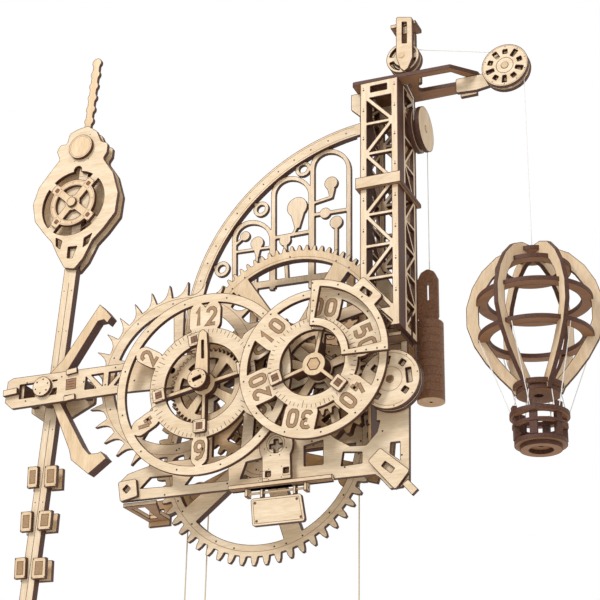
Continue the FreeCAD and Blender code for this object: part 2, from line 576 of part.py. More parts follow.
# -------------------------------------------------------------- front frame
PAD_H = disc(HOUR, 11.5, 24)
arm = face([(-249.1, -21.3), (-144.0, -22.7), (-86.5, -23.5), (-73.3, -23.8), (-72.1, -52.6), (-85.3, -49.2), (-152.2, -46.4), (-248.2, -46.9), (-254.7, -41.1), (-253.8, -23.7)])
arm = holes(arm,
            face([(-242.4, -27.8), (-208.7, -27.8), (-209.0, -39.7), (-242.1, -39.4)]),
            face([(-183.4, -28.9), (-173.8, -39.6), (-183.9, -39.4)]),
            face([(-178.7, -28.3), (-168.2, -28.1), (-168.3, -38.7)]),
            face([(-163.4, -28.0), (-152.6, -28.2), (-163.5, -39.0)]),
            face([(-158.3, -39.3), (-153.9, -33.8), (-153.5, -39.9)]))
beam = face([(-145.7, -132.6), (-149.2, -118.5), (-141.4, -111.7), (-115.3, -105.4), (-57.1, -106.9), (-33.5, -103.7), (-4.2, -99.0), (12.6, -94.4), (22.6, -103.8), (33.9, -111.0), (45.8, -111.7), (54.0, -103.2), (57.7, -88.9), (59.2, -78.7), (78.1, -76.8), (77.4, -140.6), (71.9, -145.0), (63.3, -145.4), (56.0, -136.8), (52.4, -133.9), (-55.3, -132.9)])
beam = holes(beam,
             face([(-130.6, -124.0), (-122.8, -116.4), (-104.8, -116.9), (-104.4, -124.9)]),
             face([(-93.8, -125.3), (-85.5, -115.0), (-59.9, -114.9), (-59.5, -125.8)]),
             face([(-50.1, -125.7), (-45.8, -113.5), (-33.3, -112.0), (-31.4, -125.6)]),
             face([(-1.0, -106.9), (13.5, -104.1), (13.7, -121.9), (-0.7, -121.7)]),
             face([(28.7, -114.8), (42.8, -116.5), (42.8, -124.5), (27.2, -124.9)]),
             face([(63.9, -112.1), (70.8, -112.2), (70.7, -125.6), (63.4, -119.7)]))
TOWER_X0, TOWER_X1, TOWER_TOP, TOWER_LOW = 50.4, 80.0, 165.0, -35.0
RATCH = (20.5, -75.0)          # ratchet axis
KNOB = (68.2, -70.2)           # winding knob axis
spine = face([(TOWER_X0 + PLY, -95), (TOWER_X1 - PLY, -95), (TOWER_X1 - PLY, -14), (TOWER_X0 + PLY, 30)])
spine = holes(spine, face([(58, -60), (72, -60), (72, -26), (58, -12)]))
front = join(arm, beam, spine, PAD_H, disc(ESC, 9.0), disc(PIV, 9.0),
             bar(PIV, (-199.0, -30.5), 6.0), disc(MIN, 13.0), disc(UP, 13.0), disc(TRA, 13.0),
             bar(HOUR, TRA, 9.0), bar(TRA, MIN, 9.0), bar(MIN, UP, 9.0), bar(MIN, (60, -50), 10.0),
             bar(UP, (58, -3), 9.0), bar(HOUR, (HOUR[0], -118), 8.0), bar(TRA, (TRA[0] - 3, -112), 9.0),
             disc(RATCH, 7.0), bar(RATCH, MIN, 7.0), bar(RATCH, (24, -98), 7.0), bar(ESC, HOUR, 9.0), bar(UP, HOUR, 9.0))
front = holes(front, disc(MIN, 8.5, 6), disc(UP, 8.5, 6), disc(TRA, 8.5, 6))
plate("front_frame", [(front, "dims.y_front", "dims.ply")])

# corner plates on the front of the frame
lug_l = holes(face(rounded([(-147.6, -118.0), (-132.7, -117.0), (-130.6, -130.5), (-144.9, -133.6)], 1.5)), square((-140.1, -124.2), 4.6, 45))
lug_r = holes(face(rounded([(48.0, -124.6), (57.2, -115.9), (78.9, -134.6), (68.0, -147.6)], 2.0)), rect((63.0, -130.6), 9, 4, -40))
y11 = S["y_front"] - PLY
members = [strip("Lug_left", lug_l, y11, "dims.ply"), strip("Lug_right", lug_r, y11, "dims.ply"),
           strip("Peg_right", face([(73.0, -143.9), (77.4, -140.8), (84.4, -148.6), (80.1, -152.4)]), y11, "dims.ply"),
           strip("Boss_pivot", disc(PIV, 8.0, 24), y11, "dims.ply"),
           strip("Peg_arm", rect((-249.0, -33.8), 12.5, 5.0, 4), y11, "dims.ply"),
           strip("Tenon_arm_a", rect((-195.5, -23.4), 9.5, 4.4, 6), y11 + 1, "2"),
           strip("Tenon_arm_b", rect((-195.8, -45.1), 9.5, 4.4, 6), y11 + 1, "2")]
HB = (-19.9, -106.5)
hbr = join(disc(HB, 13.0, 40), face([(-30.6, -112.0), (-9.0, -112.3), (-7.9, -131.5), (-30.0, -132.0)]))
hbr = holes(hbr, rect(HB, 3.4, 10, 0), rect(HB, 10, 3.4, 0),
            square((-25.6, -126.6), 4.0), square((-11.8, -125.2), 4.0))
members.append(strip("Bracket_face", hbr, y11 - PLY, "dims.ply"))
members.append(strip("Bracket_spacer", disc(HB, 9.0, 24), y11, "dims.ply"))
group("front_plates", members)

# ------------------------------------------------------------------- tower
X0, X1 = TOWER_X0, TOWER_X1
CELLS = [-22.2, 3.2, 28.6, 54.0, 79.3, 104.2, 129.6, 152.8]

def truss(x0, x1, z0, z1, post, levels, rung=2.6, diag=3.0, flip=0, clip=None):
    base = face([(x0, z0), (x1, z0), (x1, z1), (x0, z1)])
    cuts = []
    for i in range(len(levels) - 1):
        a, b = levels[i] + rung / 2, levels[i + 1] - rung / 2
        l, r_ = x0 + post, x1 - post
        h = diag / 2
        dx, dz = r_ - l, b - a
        n = math.hypot(dx, dz)
        ox, oz = h * n / dz, h * n / dx
        if (i + flip) % 2 == 0:      # diagonal from lower left to upper right
            cuts.append(face([(l, a + oz), (r_ - ox, b), (l, b)]))
            cuts.append(face([(l + ox, a), (r_, a), (r_, b - oz)]))
        else:
            cuts.append(face([(l, a), (r_ - ox, a), (l, b - oz)]))
            cuts.append(face([(r_, a + oz), (r_, b), (l + ox, b)]))
    return holes(base, *cuts)

tf = truss(X0, X1, -35, TOWER_TOP, 5.2, CELLS, flip=1)
tf = tf.cut(face([(X0 - 1, -36), (72.0, -36), (74.8, -31.5), (X0 - 1, -4.5)]))
tf = holes(tf, *[face([(58.5, 156.2), (71.5, 156.2), (71.5, 161.5), (58.5, 161.5)])])
posts = join(face([(X0, 2), (X0 + 5.2, 2), (X0 + 5.2, TOWER_TOP), (X0, TOWER_TOP)]),
             face([(X1 - 5.2, -35), (X1, -35), (X1, TOWER_TOP), (X1 - 5.2, TOWER_TOP)]),
             bar((50.9, -3.5), (75.5, -33.1), 3.2), face([(X0, -6), (X0 + 3.0, -6), (X0 + 3.0, 2), (X0, 2)]))
plate("tower_front", [(tf, "dims.y_tower", "dims.ply"), (posts, "dims.y_tower + dims.ply", "9")])
tr = truss(X0, X1, -35, TOWER_TOP, 5.2, CELLS)
YB = S["y_tower"] + S["tower_deep"]       # rear face of the tower
plate("tower_rear", [(tr, "dims.y_tower + dims.tower_deep - dims.ply", "dims.ply")])
SIDE_CELLS = [-31, -10, 11, 32, 53, 76, 99, 122, 145, 161]
sd = truss(2.0, YB - PLY, -35, TOWER_TOP, 3.4, SIDE_CELLS, 2.4, 2.6)
sd_l = holes(sd, face([(14, -9.8), (17, -9.8), (17, 1.0), (14, 1.0)]))
sd_r = holes(sd, face([(13.9, -36), (17.1, -36), (17.1, -13), (13.9, -13)]), face([(4.4, 149), (10.5, 149), (10.5, 163), (4.4, 163)]))
group("tower_sides", [strip("Side_left", sd_l, X0, "dims.ply", "YZ"),
                      strip("Side_right", sd_r, X1 - PLY, "dims.ply", "YZ")])
col_o = face([(X0 - 2.6, -13), (X1 + 2.6, -13), (X1 + 2.6, YB + 3), (X0 - 2.6, YB + 3)])
col_i = face([(X0, -10), (X1, -10), (X1, YB), (X0, YB)])
collar = holes(col_o, col_i)
group("tower_collar", [strip("Collar_a", collar, 75.0, "dims.ply", "XY"),
                       strip("Collar_front", face([(X0 - 2.6, 78), (X1 + 2.6, 78), (X1 + 2.6, 84), (X0 - 2.6, 84)]), -13, "dims.ply"),
                       strip("Floor_front", face([(X0 + PLY, 2), (X1 - PLY, 2), (X1 - PLY, 14), (X0 + PLY, 14)]), -38.0, "dims.ply", "XY"),
                       strip("Floor_rear", face([(X0 + PLY, 17), (X1 - PLY, 17), (X1 - PLY, YB - PLY), (X0 + PLY, YB - PLY)]), -38.0, "dims.ply", "XY")])

# --------------------------------------------------------------------- jib
jp = face(rounded([(43.6, -10), (120, -7.5), (136.3, 9.7), (138.4, 30), (81.7, YB), (43.6, YB)], 2.0))
jp = holes(jp, face(rounded([(94.3, -2.3), (118.8, -1.5), (127.1, 9.1), (126.6, 18), (87.7, 16.4)], 2.5)),
           rect((82.0, 5.0), 6, 5))
plate("jib_plate", [(jp, "165", "dims.ply")], "XY")
OUTP = (159.7, 161.8)          # outer pulley axis
MASTP = (81.2, 186.6)          # mast pulley axis
brk = join(face(rounded([(119, 153), (135, 152), (159, 155.5), (166, 158), (166, 165), (119, 165)], 1.5)), disc(OUTP, 6.5, 24))
web = face([(118, 158), (131, 158), (131, 165), (118, 165)])
jl = face([(X0 - 12, 152), (X0, 140), (X0, 165), (X0 - 12, 165)])
group("jib_brackets", [strip("Jib_fork", brk, 9.2, "dims.ply"), strip("Jib_fork_rear", web, 24.0, "dims.ply"),
                       strip("Jib_corner", jl, 2.0, "dims.ply"), strip("Jib_corner_rear", jl, 20.0, "dims.ply")])
mp = holes(face(rounded([(77.5, 221.5), (90.3, 218.3), (90.3, 182.7), (86.6, 173.9), (83.4, 172.0), (80.3, 175.4), (77.2, 185.8)], 1.5)),
           face([(82.3, 215.8), (85.9, 214.9), (85.7, 196.2), (82.1, 197.0)]))
mb = face(rounded([(72, 168), (92, 168), (92, 176), (88, 181), (88, 214), (74, 214), (74, 181), (72, 176)], 1.5))
cap = face([(76, 206.5), (87, 206.5), (87, 213.5), (76, 213.5)])
group("mast", [strip("Mast_front", mp, -5.0, "dims.ply"), strip("Mast_rear", mb, 9.2, "dims.ply"),
               strip("Mast_cap", cap, -2.0, "11.2"), strip("Mast_top", face([(72, -2), (92, -2), (92, 12.2), (72, 12.2)]), 214.0, "dims.ply", "XY")])

# --------------------------------------------------------------- fixed arc
ARC = (44.0, 6.0)
arc_r = arc_band(ARC, 161.5, 151.0, 82.0, 179.0, 66)
foot = face([(-120, -6), (-104, -6), (-104, 12), (-119, 12)])
plate("arc_ring", [(join(arc_r, foot), "dims.y_arc", "dims.ply")])
def outward(p):
    """A short arm from the roundel at p to the arc outside it."""
    a = angle(ARC, p)
    d = math.hypot(p[0] - ARC[0], p[1] - ARC[1])
    return bar(polar(ARC, d + 5.5, a), polar(ARC, 153.0, a), 3.0)

lat = [arc_band(ARC, 155.5, 151.5, 97.5, 176.0, 60),
       face([(-13.1, 32.7), (-14.7, 136.5), (-14.4, 139.9), (-13.5, 143.0), (-11.9, 145.7), (-9.7, 147.9), (-7.1, 149.6), (-4.1, 150.6), (-0.8, 150.9), (2.6, 150.5), (6.0, 149.5), (9.2, 147.8), (12.3, 145.6), (14.9, 142.9), (17.0, 139.8), (18.6, 136.5), (19.6, 133.0), (20.0, 129.6), (20.4, 27.2), (16.7, 27.8), (16.1, 130.4), (15.9, 133.0), (15.1, 135.7), (13.8, 138.3), (12.2, 140.7), (10.1, 142.8), (7.8, 144.5), (5.3, 145.8), (2.6, 146.6), (-0.0, 146.9), (-2.6, 146.6), (-4.9, 145.8), (-6.9, 144.6), (-8.6, 142.8), (-9.8, 140.7), (-10.5, 138.3), (-10.8, 135.7), (-9.3, 32.1)]), face([(-45.7, 38.1), (-47.8, 118.5), (-47.6, 121.9), (-46.6, 125.0), (-45.0, 127.8), (-42.8, 130.1), (-40.1, 131.8), (-37.0, 132.8), (-33.6, 133.2), (-30.1, 132.8), (-26.5, 131.8), (-23.1, 130.1), (-20.0, 127.8), (-17.2, 125.1), (-14.9, 122.0), (-13.2, 118.6), (-12.2, 115.1), (-11.8, 111.6), (-10.7, 32.3), (-14.5, 32.9), (-15.7, 112.3), (-16.0, 115.0), (-16.8, 117.8), (-18.2, 120.4), (-19.9, 122.9), (-22.1, 125.0), (-24.6, 126.8), (-27.2, 128.1), (-30.0, 128.9), (-32.7, 129.2), (-35.4, 128.9), (-37.8, 128.1), (-39.9, 126.8), (-41.6, 125.0), (-42.9, 122.8), (-43.6, 120.4), (-43.8, 117.7), (-41.9, 37.4)]), face([(-79.0, 41.8), (-80.7, 85.5), (-80.4, 88.9), (-79.5, 92.1), (-77.9, 94.8), (-75.7, 97.1), (-73.0, 98.8), (-69.9, 99.9), (-66.5, 100.2), (-62.9, 99.9), (-59.3, 98.9), (-55.9, 97.3), (-52.7, 95.1), (-49.9, 92.4), (-47.5, 89.3), (-45.8, 86.0), (-44.7, 82.5), (-44.3, 79.0), (-43.2, 36.0), (-47.1, 36.6), (-48.2, 79.7), (-48.5, 82.5), (-49.4, 85.2), (-50.8, 87.8), (-52.6, 90.2), (-54.8, 92.3), (-57.3, 94.0), (-60.0, 95.3), (-62.8, 96.0), (-65.6, 96.3), (-68.2, 96.0), (-70.7, 95.2), (-72.8, 93.8), (-74.5, 92.1), (-75.7, 89.9), (-76.5, 87.5), (-76.6, 84.8), (-75.1, 41.2)]),
       face([(-82.6, 45.8), (37.3, 42.7), (37.3, 37.7), (-82.4, 39.8)]),
       disc((-58.8, 79.0), 5.6, 20), disc((-25.2, 104.4), 8.6, 24), disc((3.3, 120.1), 5.6, 20),
       face([(-62.2, 76.1), (-55.3, 74.9), (-57.1, 66.5), (-59.7, 67.0)]), face([(-31.1, 100.2), (-19.2, 98.0), (-22.8, 85.6), (-27.0, 86.3)]),
       face([(-0.0, 116.3), (6.7, 115.0), (4.7, 106.6), (2.2, 107.1)]),
       bar((-77.7, 74.4), (-46.7, 73.4), 2.4), bar((-45.2, 80.9), (-13.0, 81.2), 3.0),
       bar((-12.4, 95.0), (18.5, 94.4), 3.0), bar((-11.7, 105.3), (3.4, 107.7), 2.4),
       bar((-24.9, 87.7), (-29.0, 79.7), 2.4), bar((-58.5, 68.5), (-59.3, 38.6), 2.4),
       disc((-1.5, 94.7), 4.6, 16), disc((7.8, 85.2), 5.4, 16), disc((-34.9, 77.3), 5.0, 16), disc((-69.4, 87.0), 4.2, 16),
       ring((-88.5, 61.5), 6.6, 3.4, 24), ring((-56.2, 108.4), 6.6, 3.4, 24), ring((-20.7, 137.3), 6.6, 3.4, 24),
       outward((-88.5, 61.5)), outward((-56.2, 108.4)), outward((-20.7, 137.3)),
       face([(-63, 2.5), (-57, 2.5), (-57, 42.3), (-63, 42.3)]), face([(17, 2.5), (23, 2.5), (23, 40.6), (17, 40.6)]),
       bar((7.8, 85.2), (8.1, 39.2), 3.0), bar((-34.9, 77.3), (-32.4, 40.9), 3.0), bar((-69.4, 87.0), (-78.7, 79.9), 2.4)]
lattice = join(*lat)
plate("arc_lattice", [(lattice, "dims.y_arc + dims.ply", "dims.ply")])

# --------------------------------------------------------- fixed window mask
ca, cb = math.radians(-2), math.radians(88)
mask = arc_band(MIN, 60.4, 25.0, -2, 88, 30)
mask = holes(mask, arc_band(MIN, 55.0, 31.0, 5.0, 81.0, 30))
lug = face(rounded([tuple(p) for p in [(43.3, -4.7), (53.8, 4.5), (68.8, -12.7), (59.1, -21.9)]], 2.5))
mask = join(mask, lug)
mask = holes(mask, rect((56.1, -7.9), 9.5, 3.6, -42))
plate("window_mask", [(mask, "-13", "dims.ply")])

# --------------------------------------------------------- fixed hour hand
point = join(disc(HOUR, 8.2, 32), face([(-80.9, -48.2), (-80.1, -31.0), (-78.3, -15.3), (-75.2, -13.4), (-71.8, -16.3), (-70.2, -32.4), (-69.5, -49.8)]))
point = holes(point, face([(-76.0, -22.1), (-74.2, -22.3), (-73.5, -36.7), (-75.3, -36.4)]))
plate("hour_hand", [(point, "dims.y_minute", "dims.ply"), (holes(disc(HOUR, 7.6, 32), rect(HOUR, 7, 2.6, 20)), "dims.y_cap", "dims.ply")])

# ----------------------------------------------------------------- pendulum
pend = []
def on_rod(z, off=0.0):
    """A point on the pendulum rod at height z, off to one side."""
    a = math.radians(3.3)
    return (PIV[0] + (z - PIV[1]) * math.tan(a) + off * math.cos(a), z - off * math.sin(a))
rod = join(bar(on_rod(75), on_rod(-226), 11.6), disc(PIV, 11.0, 30))
rod = holes(rod, hexa(PIV, 6.0))
plate("pendulum_rod", [(rod, "dims.y_rod", "6")])
stem = join(*[bar((-205.0, 269.8), (-209.6, 200.1), 6.2)] +
            [disc((-205.2, 266.8), 4.4, 16), disc((-205.9, 255.4), 4.4, 16),
             disc((-206.6, 244.1), 4.4, 16), disc((-207.2, 232.8), 4.4, 16),
             disc((-207.9, 221.6), 4.4, 16), disc((-208.6, 210.5), 4.4, 16)])
bob_o = face(rounded([(-207.1, 203.6), (-198.0, 196.9), (-193.4, 186.4), (-186.6, 183.1), (-186.9, 174.6), (-190.3, 169.7), (-179.8, 154.5), (-173.8, 134.9), (-175.3, 116.9), (-185.4, 104.3), (-194.8, 95.2), (-201.9, 80.4), (-209.5, 71.9), (-218.9, 74.4), (-226.6, 87.3), (-232.4, 99.2), (-240.8, 108.9), (-250.6, 121.7), (-254.2, 138.2), (-249.8, 153.3), (-240.4, 165.6), (-231.7, 176.2), (-235.3, 184.6), (-232.0, 190.6), (-226.1, 189.4), (-224.1, 199.5), (-215.7, 202.5)], 3.0, 4))
bob_h = holes(bob_o, ring((-215.5, 132.7), 29.0, 18.5, 60).cut([bar(polar((-215.5, 132.7), 16, a), polar((-215.5, 132.7), 31, a), 7.5) for a in (48, 138, 228, 318)]),
              face([(-216.8, 92.8), (-208.4, 92.2), (-212.2, 82.1), (-216.9, 83.0)]), disc((-213.4, 163.0), 3.6, 16),
              face([(-229.0, 103.1), (-223.0, 99.3), (-224.3, 92.3), (-228.3, 95.8)]), face([(-202.4, 98.4), (-195.3, 101.6), (-198.3, 93.1), (-202.7, 90.3)]))
plate("pendulum_bob", [(bob_h, "26", "3.2"), (bob_o, "35.2", "dims.ply"), (bar(on_rod(75.02), on_rod(175), 9.0), "29.2", "6")])
WC = (-214.3, 131.5)
wh = join(ring(WC, 21.0, 15.6, 48), disc(WC, 7.0, 24), *[bar(polar(WC, 5, a), polar(WC, 17, a), 6.5) for a in (48, 138, 228, 318)])
wh = join(wh, *[square(polar(WC, 21.0, a), 8.5, a) for a in (48, 138, 228, 318)])
wh = holes(wh, *[square(polar(WC, 20.5, a), 3.0, a) for a in (48, 138, 228, 318)])
dc = (-211.0, 183.3)
knobs = [strip("Stem", stem, 29.2, "dims.ply"), strip("Bob_wheel", wh, 23.0, "dims.ply"), strip("Bob_disc", disc(dc, 11.0, 32), 23.0, "dims.ply"),
         strip("Bob_hub", disc(WC, 4.2, 20), 21.0, "2")]
for i, q in enumerate([[(-236.3, -91.7), (-227.3, -91.9), (-226.6, -108.7), (-235.5, -108.6)], [(-238.9, -127.2), (-229.2, -127.4), (-228.6, -143.1), (-238.2, -142.9)], [(-240.6, -162.8), (-231.0, -162.9), (-230.2, -179.0), (-239.8, -178.9)],
                       [(-221.1, -92.6), (-210.4, -93.0), (-209.8, -109.8), (-220.4, -109.4)], [(-223.0, -128.0), (-211.6, -128.4), (-212.0, -143.1), (-223.3, -142.8)], [(-224.8, -164.2), (-213.5, -164.5), (-212.9, -180.5), (-224.9, -180.2)]]):
    knobs.append(strip("Clamp_%d" % i, face(q), 26.0, "3.2"))
    knobs.append(strip("Clamp_back_%d" % i, face(q), 35.2, "dims.ply"))
LB = on_rod(-247)
knobs.append(strip("Low_bob_front", disc(LB, 30.0, 72), 26.2, "dims.ply"))
knobs.append(strip("Low_bob_mid", holes(disc(LB, 30.0, 72), bar(on_rod(-200), on_rod(-226), 11.6)), 29.2, "6"))
knobs.append(strip("Low_bob_back", disc(LB, 30.0, 72), 35.2, "dims.ply"))
group("pendulum_fittings", knobs)
up_arm = face([(-228.1, -26.7), (-209.8, -10.0), (-179.3, 33.4), (-173.5, 27.7), (-163.8, 16.0), (-169.9, 14.4), (-174.7, 19.8), (-180.0, 19.4), (-203.0, -16.8), (-216.6, -34.9)])
lo_arm = face([(-231.1, -33.0), (-215.6, -44.9), (-197.1, -84.5), (-194.7, -92.8), (-179.0, -105.6), (-159.6, -91.4), (-163.3, -86.2), (-171.6, -89.9), (-179.4, -89.8), (-185.1, -83.6), (-207.5, -46.0), (-217.2, -28.2)])
anch = join(up_arm, lo_arm, disc(PIV, 12.0, 30))
anch = holes(anch, hexa(PIV, 6.0))
# the pallets stay just outside the tooth tips over the whole swing
for k in range(-6, 7):
    a = math.radians(0.55 * k)
    ex_, ez_ = ESC[0] - PIV[0], ESC[1] - PIV[1]
    anch = anch.cut(disc((PIV[0] + ex_ * math.cos(a) - ez_ * math.sin(a), PIV[1] + ex_ * math.sin(a) + ez_ * math.cos(a)), 76.9, 144))
plate("anchor", [(anch, "dims.y_anchor", "9")])
hub("pendulum_hub", PIV, [], S["y_front"] + PLY + 0.5, 39.4, 6.0)
rearp = face(rounded([(PIV[0] - 26, PIV[1] - 9), (PIV[0] - 12, PIV[1] - 19), (PIV[0] + 8, PIV[1] - 19), (PIV[0] + 31, PIV[1] - 8),
                      (PIV[0] + 31, PIV[1] + 8), (PIV[0] + 8, PIV[1] + 19), (PIV[0] - 12, PIV[1] + 19), (PIV[0] - 26, PIV[1] + 9)], 2.0))
group("arm_rear_plate", [strip("Arm_back", rearp, 40.0, "dims.ply"),
                         strip("Spacer_left", rect((PIV[0] - 21.5, PIV[1]), 5.0, 12.0), 17.0, "23"),
                      strip("Spacer_right", rect((PIV[0] + 27.0, PIV[1] + 0.5), 5.0, 12.0), 17.0, "23")])

# ------------------------------------------------------- winding knob, ratchet
kn = holes(disc(KNOB, 22.0, 64), hexa(KNOB, 6.0), *[square(polar(KNOB, 14.5, a), 4.2, a) for a in (50, 140, 230, 320)] +
           [face([polar(KNOB, 11, 95), polar(KNOB, 17, 88), polar(KNOB, 17, 102)]), rect(polar(KNOB, 14.0, 5), 4, 11, 5)])
kn2 = holes(disc(KNOB, 20.6, 64), hexa(KNOB, 6.0))
knob_disc = plate("Knob_disc", [(kn, "1.5", "dims.ply"), (kn2, "1.5 + dims.ply", "dims.ply"), (holes(disc(KNOB, 22.0, 64), hexa(KNOB, 6.0)), "1.5 + 2 * dims.ply", "dims.ply")])
NODES.pop()
knob_core = hub("Knob_core", KNOB, [], 1.5, 10.5, 6.0)
NODES.pop()
group("winding_knob", [knob_disc, knob_core])
def ratchet_pts(c, n, ro, ri):
    pts = []
    for k in range(n):
        a = 360.0 * k / n
        s = 360.0 / n
        pts += [polar(c, ri, a), polar(c, ro, a + 0.16 * s), polar(c, ro, a + 0.42 * s), polar(c, ri + 1.0, a + 0.78 * s)]
    return pts
ra = holes(face(ratchet_pts(RATCH, 14, 24.8, 20.0)), hexa(RATCH, 6.0), *spoked(RATCH, 16.0, 9.0, 4, 30, 5, 6))
ratchet_disc = plate("Ratchet_disc", [(ra, "23", "6")])
NODES.pop()
ratchet_core = hub("Ratchet_core", RATCH, [], 22.2, 29.4, 6.0)
NODES.pop()
group("ratchet_drum", [ratchet_disc, ratchet_core])

group("studs", front_studs + rear_studs + [pin("Rod_sign", (9.5, -139.4), -42.5, 4.8, 0.9, "YZ"), pin("Pin_pivot", PIV, 14.0, 43.0, r), pin("Pin_knob", KNOB, 1.0, 17.0, r), pin("Pin_ratchet", RATCH, 14.0, 29.8, r),
                     pin("Pin_mast", MASTP, -5.6, 12.2, r), pin("Pin_outer", OUTP, -1.4, 12.2, r),
                     pin("Pin_side", (25.0, 137.0), 77.0, 90.4, r, "YZ")])

# ---------------------------------------------------------------- pulleys
def sleeve(label, c, y0, y1, plane):
    """The hexagonal bush of a pulley with its round running bore."""
    hexs = doc.addObject("Part::Prism", label + "_block")
    hexs.Polygon = 6
    hexs.Circumradius = 5.0
    hexs.Height = y1 - y0
    cyl = doc.addObject("Part::Cylinder", label + "_bore")
    cyl.setExpression("Radius", "dims.bore_radius")
    cyl.Height = y1 - y0 + 2
    if plane == "XZ":
        hexs.Placement = FreeCAD.Placement(FRAME + V(c[0], y0, c[1]), FreeCAD.Rotation(V(1, 0, 0), -90))
        cyl.Placement = FreeCAD.Placement(FRAME + V(c[0], y0 - 1, c[1]), FreeCAD.Rotation(V(1, 0, 0), -90))
    else:
        own = PLANES["YZ"]
        hexs.Placement = FreeCAD.Placement(FRAME + V(y0, c[0], c[1]), own)
        cyl.Placement = FreeCAD.Placement(FRAME + V(y0 - 1, c[0], c[1]), own)
    cut = doc.addObject("Part::Cut", "Cut_" + label)
    cut.Base = hexs
    cut.Tool = cyl
    return cut

def pulley(label, c, y0, flange, groove, cuts, plane="XZ", teeth=4):
    hexh = hexa(c, 5.0)
    f1 = holes(disc(c, flange, 48), hexh, *cuts)
    g1 = holes(disc(c, groove, 40), hexh)
    p = plate(label + "_disc", [(f1, "%g" % y0, "dims.ply"), (g1, "%g + dims.ply" % y0, "dims.ply"), (holes(disc(c, flange, 48), hexh), "%g + 2 * dims.ply" % y0, "dims.ply")], plane)
    NODES.pop()
    return group(label, [p, sleeve(label + "_sleeve", c, y0, y0 + 9.0, plane)])

pulley("outer_pulley", OUTP, -1.0, 17.5, 12.0,
       [square(polar(OUTP, 11.5, a), 3.4, a) for a in (15, 87, 159, 231, 303)] +
       [face([polar(OUTP, 8.6, a - 9), polar(OUTP, 14.4, a - 7), polar(OUTP, 14.4, a + 7), polar(OUTP, 8.6, a + 9)]) for a in (51, 123, 195, 267, 339)])
pulley("mast_pulley", MASTP, -1.4, 13.0, 9.0, [arc_band(MASTP, 10.8, 7.4, a, a + 62, 10) for a in (14, 104, 194, 284)])
SP = (25.0, 137.0)
pulley("side_pulley", SP, 81.0, 17.5, 14.6, [square(polar(SP, 10.5, a), 3.4, a) for a in (20, 92, 164, 236, 308)], "YZ")

# ----------------------------------------------------------------- balloon
AX, AY = 172.5, 3.5
RIB_O = [(3.5, 13), (14, 12), (25, 7), (35, -3), (42, -15), (46.5, -30), (46.5, -44), (42, -58), (34.5, -71), (26, -82), (18, -91), (16, -95.4)]
RIB_I = [(7, -95.4), (9.5, -89), (18, -79), (26.5, -67.5), (33.5, -56), (38, -43), (38, -31), (34, -18.5), (28, -9), (20, -1), (11.5, 3.4), (3.5, 4.5)]
ribs = []
for k in range(6):
    rot = FreeCAD.Rotation(V(0, 0, 1), 12 + 60 * k)
    sk = doc.addObject("Sketcher::SketchObject", "Sketch_Rib_%d" % k)
    fill_sketch(sk, face(RIB_O + RIB_I))
    ex = doc.addObject("Part::Extrusion", "Rib_%d" % k)
    ex.Base = sk
    ex.DirMode = "Custom"
    ex.Dir = V(0, 0, -1)
    ex.Solid = True
    ex.setExpression("LengthFwd", "dims.ply")
    ex.Placement = FreeCAD.Placement(FRAME + V(AX, AY, 0) + rot.multVec(V(0, -PLY / 2, 0)), rot.multiply(PLANES["XZ"]))
    ribs.append(ex)
group("balloon_ribs", ribs)
A = (AX, AY)
rings = [strip("Ring_top", ring(A, 26.0, 18.0, 60), -6.0, "dims.ply", "XY"), strip("Ring_upper", ring(A, 39.5, 31.5, 72), -29.0, "dims.ply", "XY"),
         strip("Ring_lower", ring(A, 39.0, 31.0, 72), -56.0, "dims.ply", "XY"), strip("Crown", holes(disc(A, 13.5, 36), disc(A, 1.2, 8)), 6.0, "dims.ply", "XY"),
         strip("Base_a", holes(disc(A, 17.0, 40), disc(A, 3.0, 12)), -92.0, "dims.ply", "XY"), strip("Base_b", holes(disc(A, 15.0, 40), disc(A, 3.0, 12)), -96.0, "dims.ply", "XY")]
group("balloon_rings", rings)
bs = [strip("Basket_rim", ring(A, 20.0, 14.6, 48), -112.0, "dims.ply", "XY"), strip("Basket_mid", ring(A, 18.5, 14.5, 48), -119.0, "2", "XY"),
      strip("Basket_floor", holes(disc(A, 17.5, 48), disc(A, 2.0, 8)), -131.0, "dims.ply", "XY"), strip("Basket_under", ring(A, 14.0, 8.0, 40), -134.0, "dims.ply", "XY")]
for k in range(6):
    a = 30 + 60 * k
    bs.append(strip("Post_low_%d" % k, rect(polar(A, 16.4, a), 3.0, 5.0, a), -128.0, "9", "XY"))
    bs.append(strip("Post_%d" % k, rect(polar(A, 16.4, a), 3.0, 5.0, a), -117.0, "5", "XY"))
    bs.append(strip("Post_top_%d" % k, rect(polar(A, 17.3, a), 3.0, 5.0, a), -109.0, "4", "XY"))
group("basket", bs)

def cord(label, pts, r):
    """The straight lengths of a round cord laid along pts."""
    out = []
    for i, (p, q) in enumerate(zip(pts, pts[1:])):
        d = V(*q) - V(*p)
        c = doc.addObject("Part::Cylinder", "%s_%d" % (label, i))
        c.Radius = r
        c.Height = d.Length
        c.Placement = FreeCAD.Placement(FRAME + V(*p), FreeCAD.Rotation(V(0, 0, 1), d))
        out.append(c)
    return out

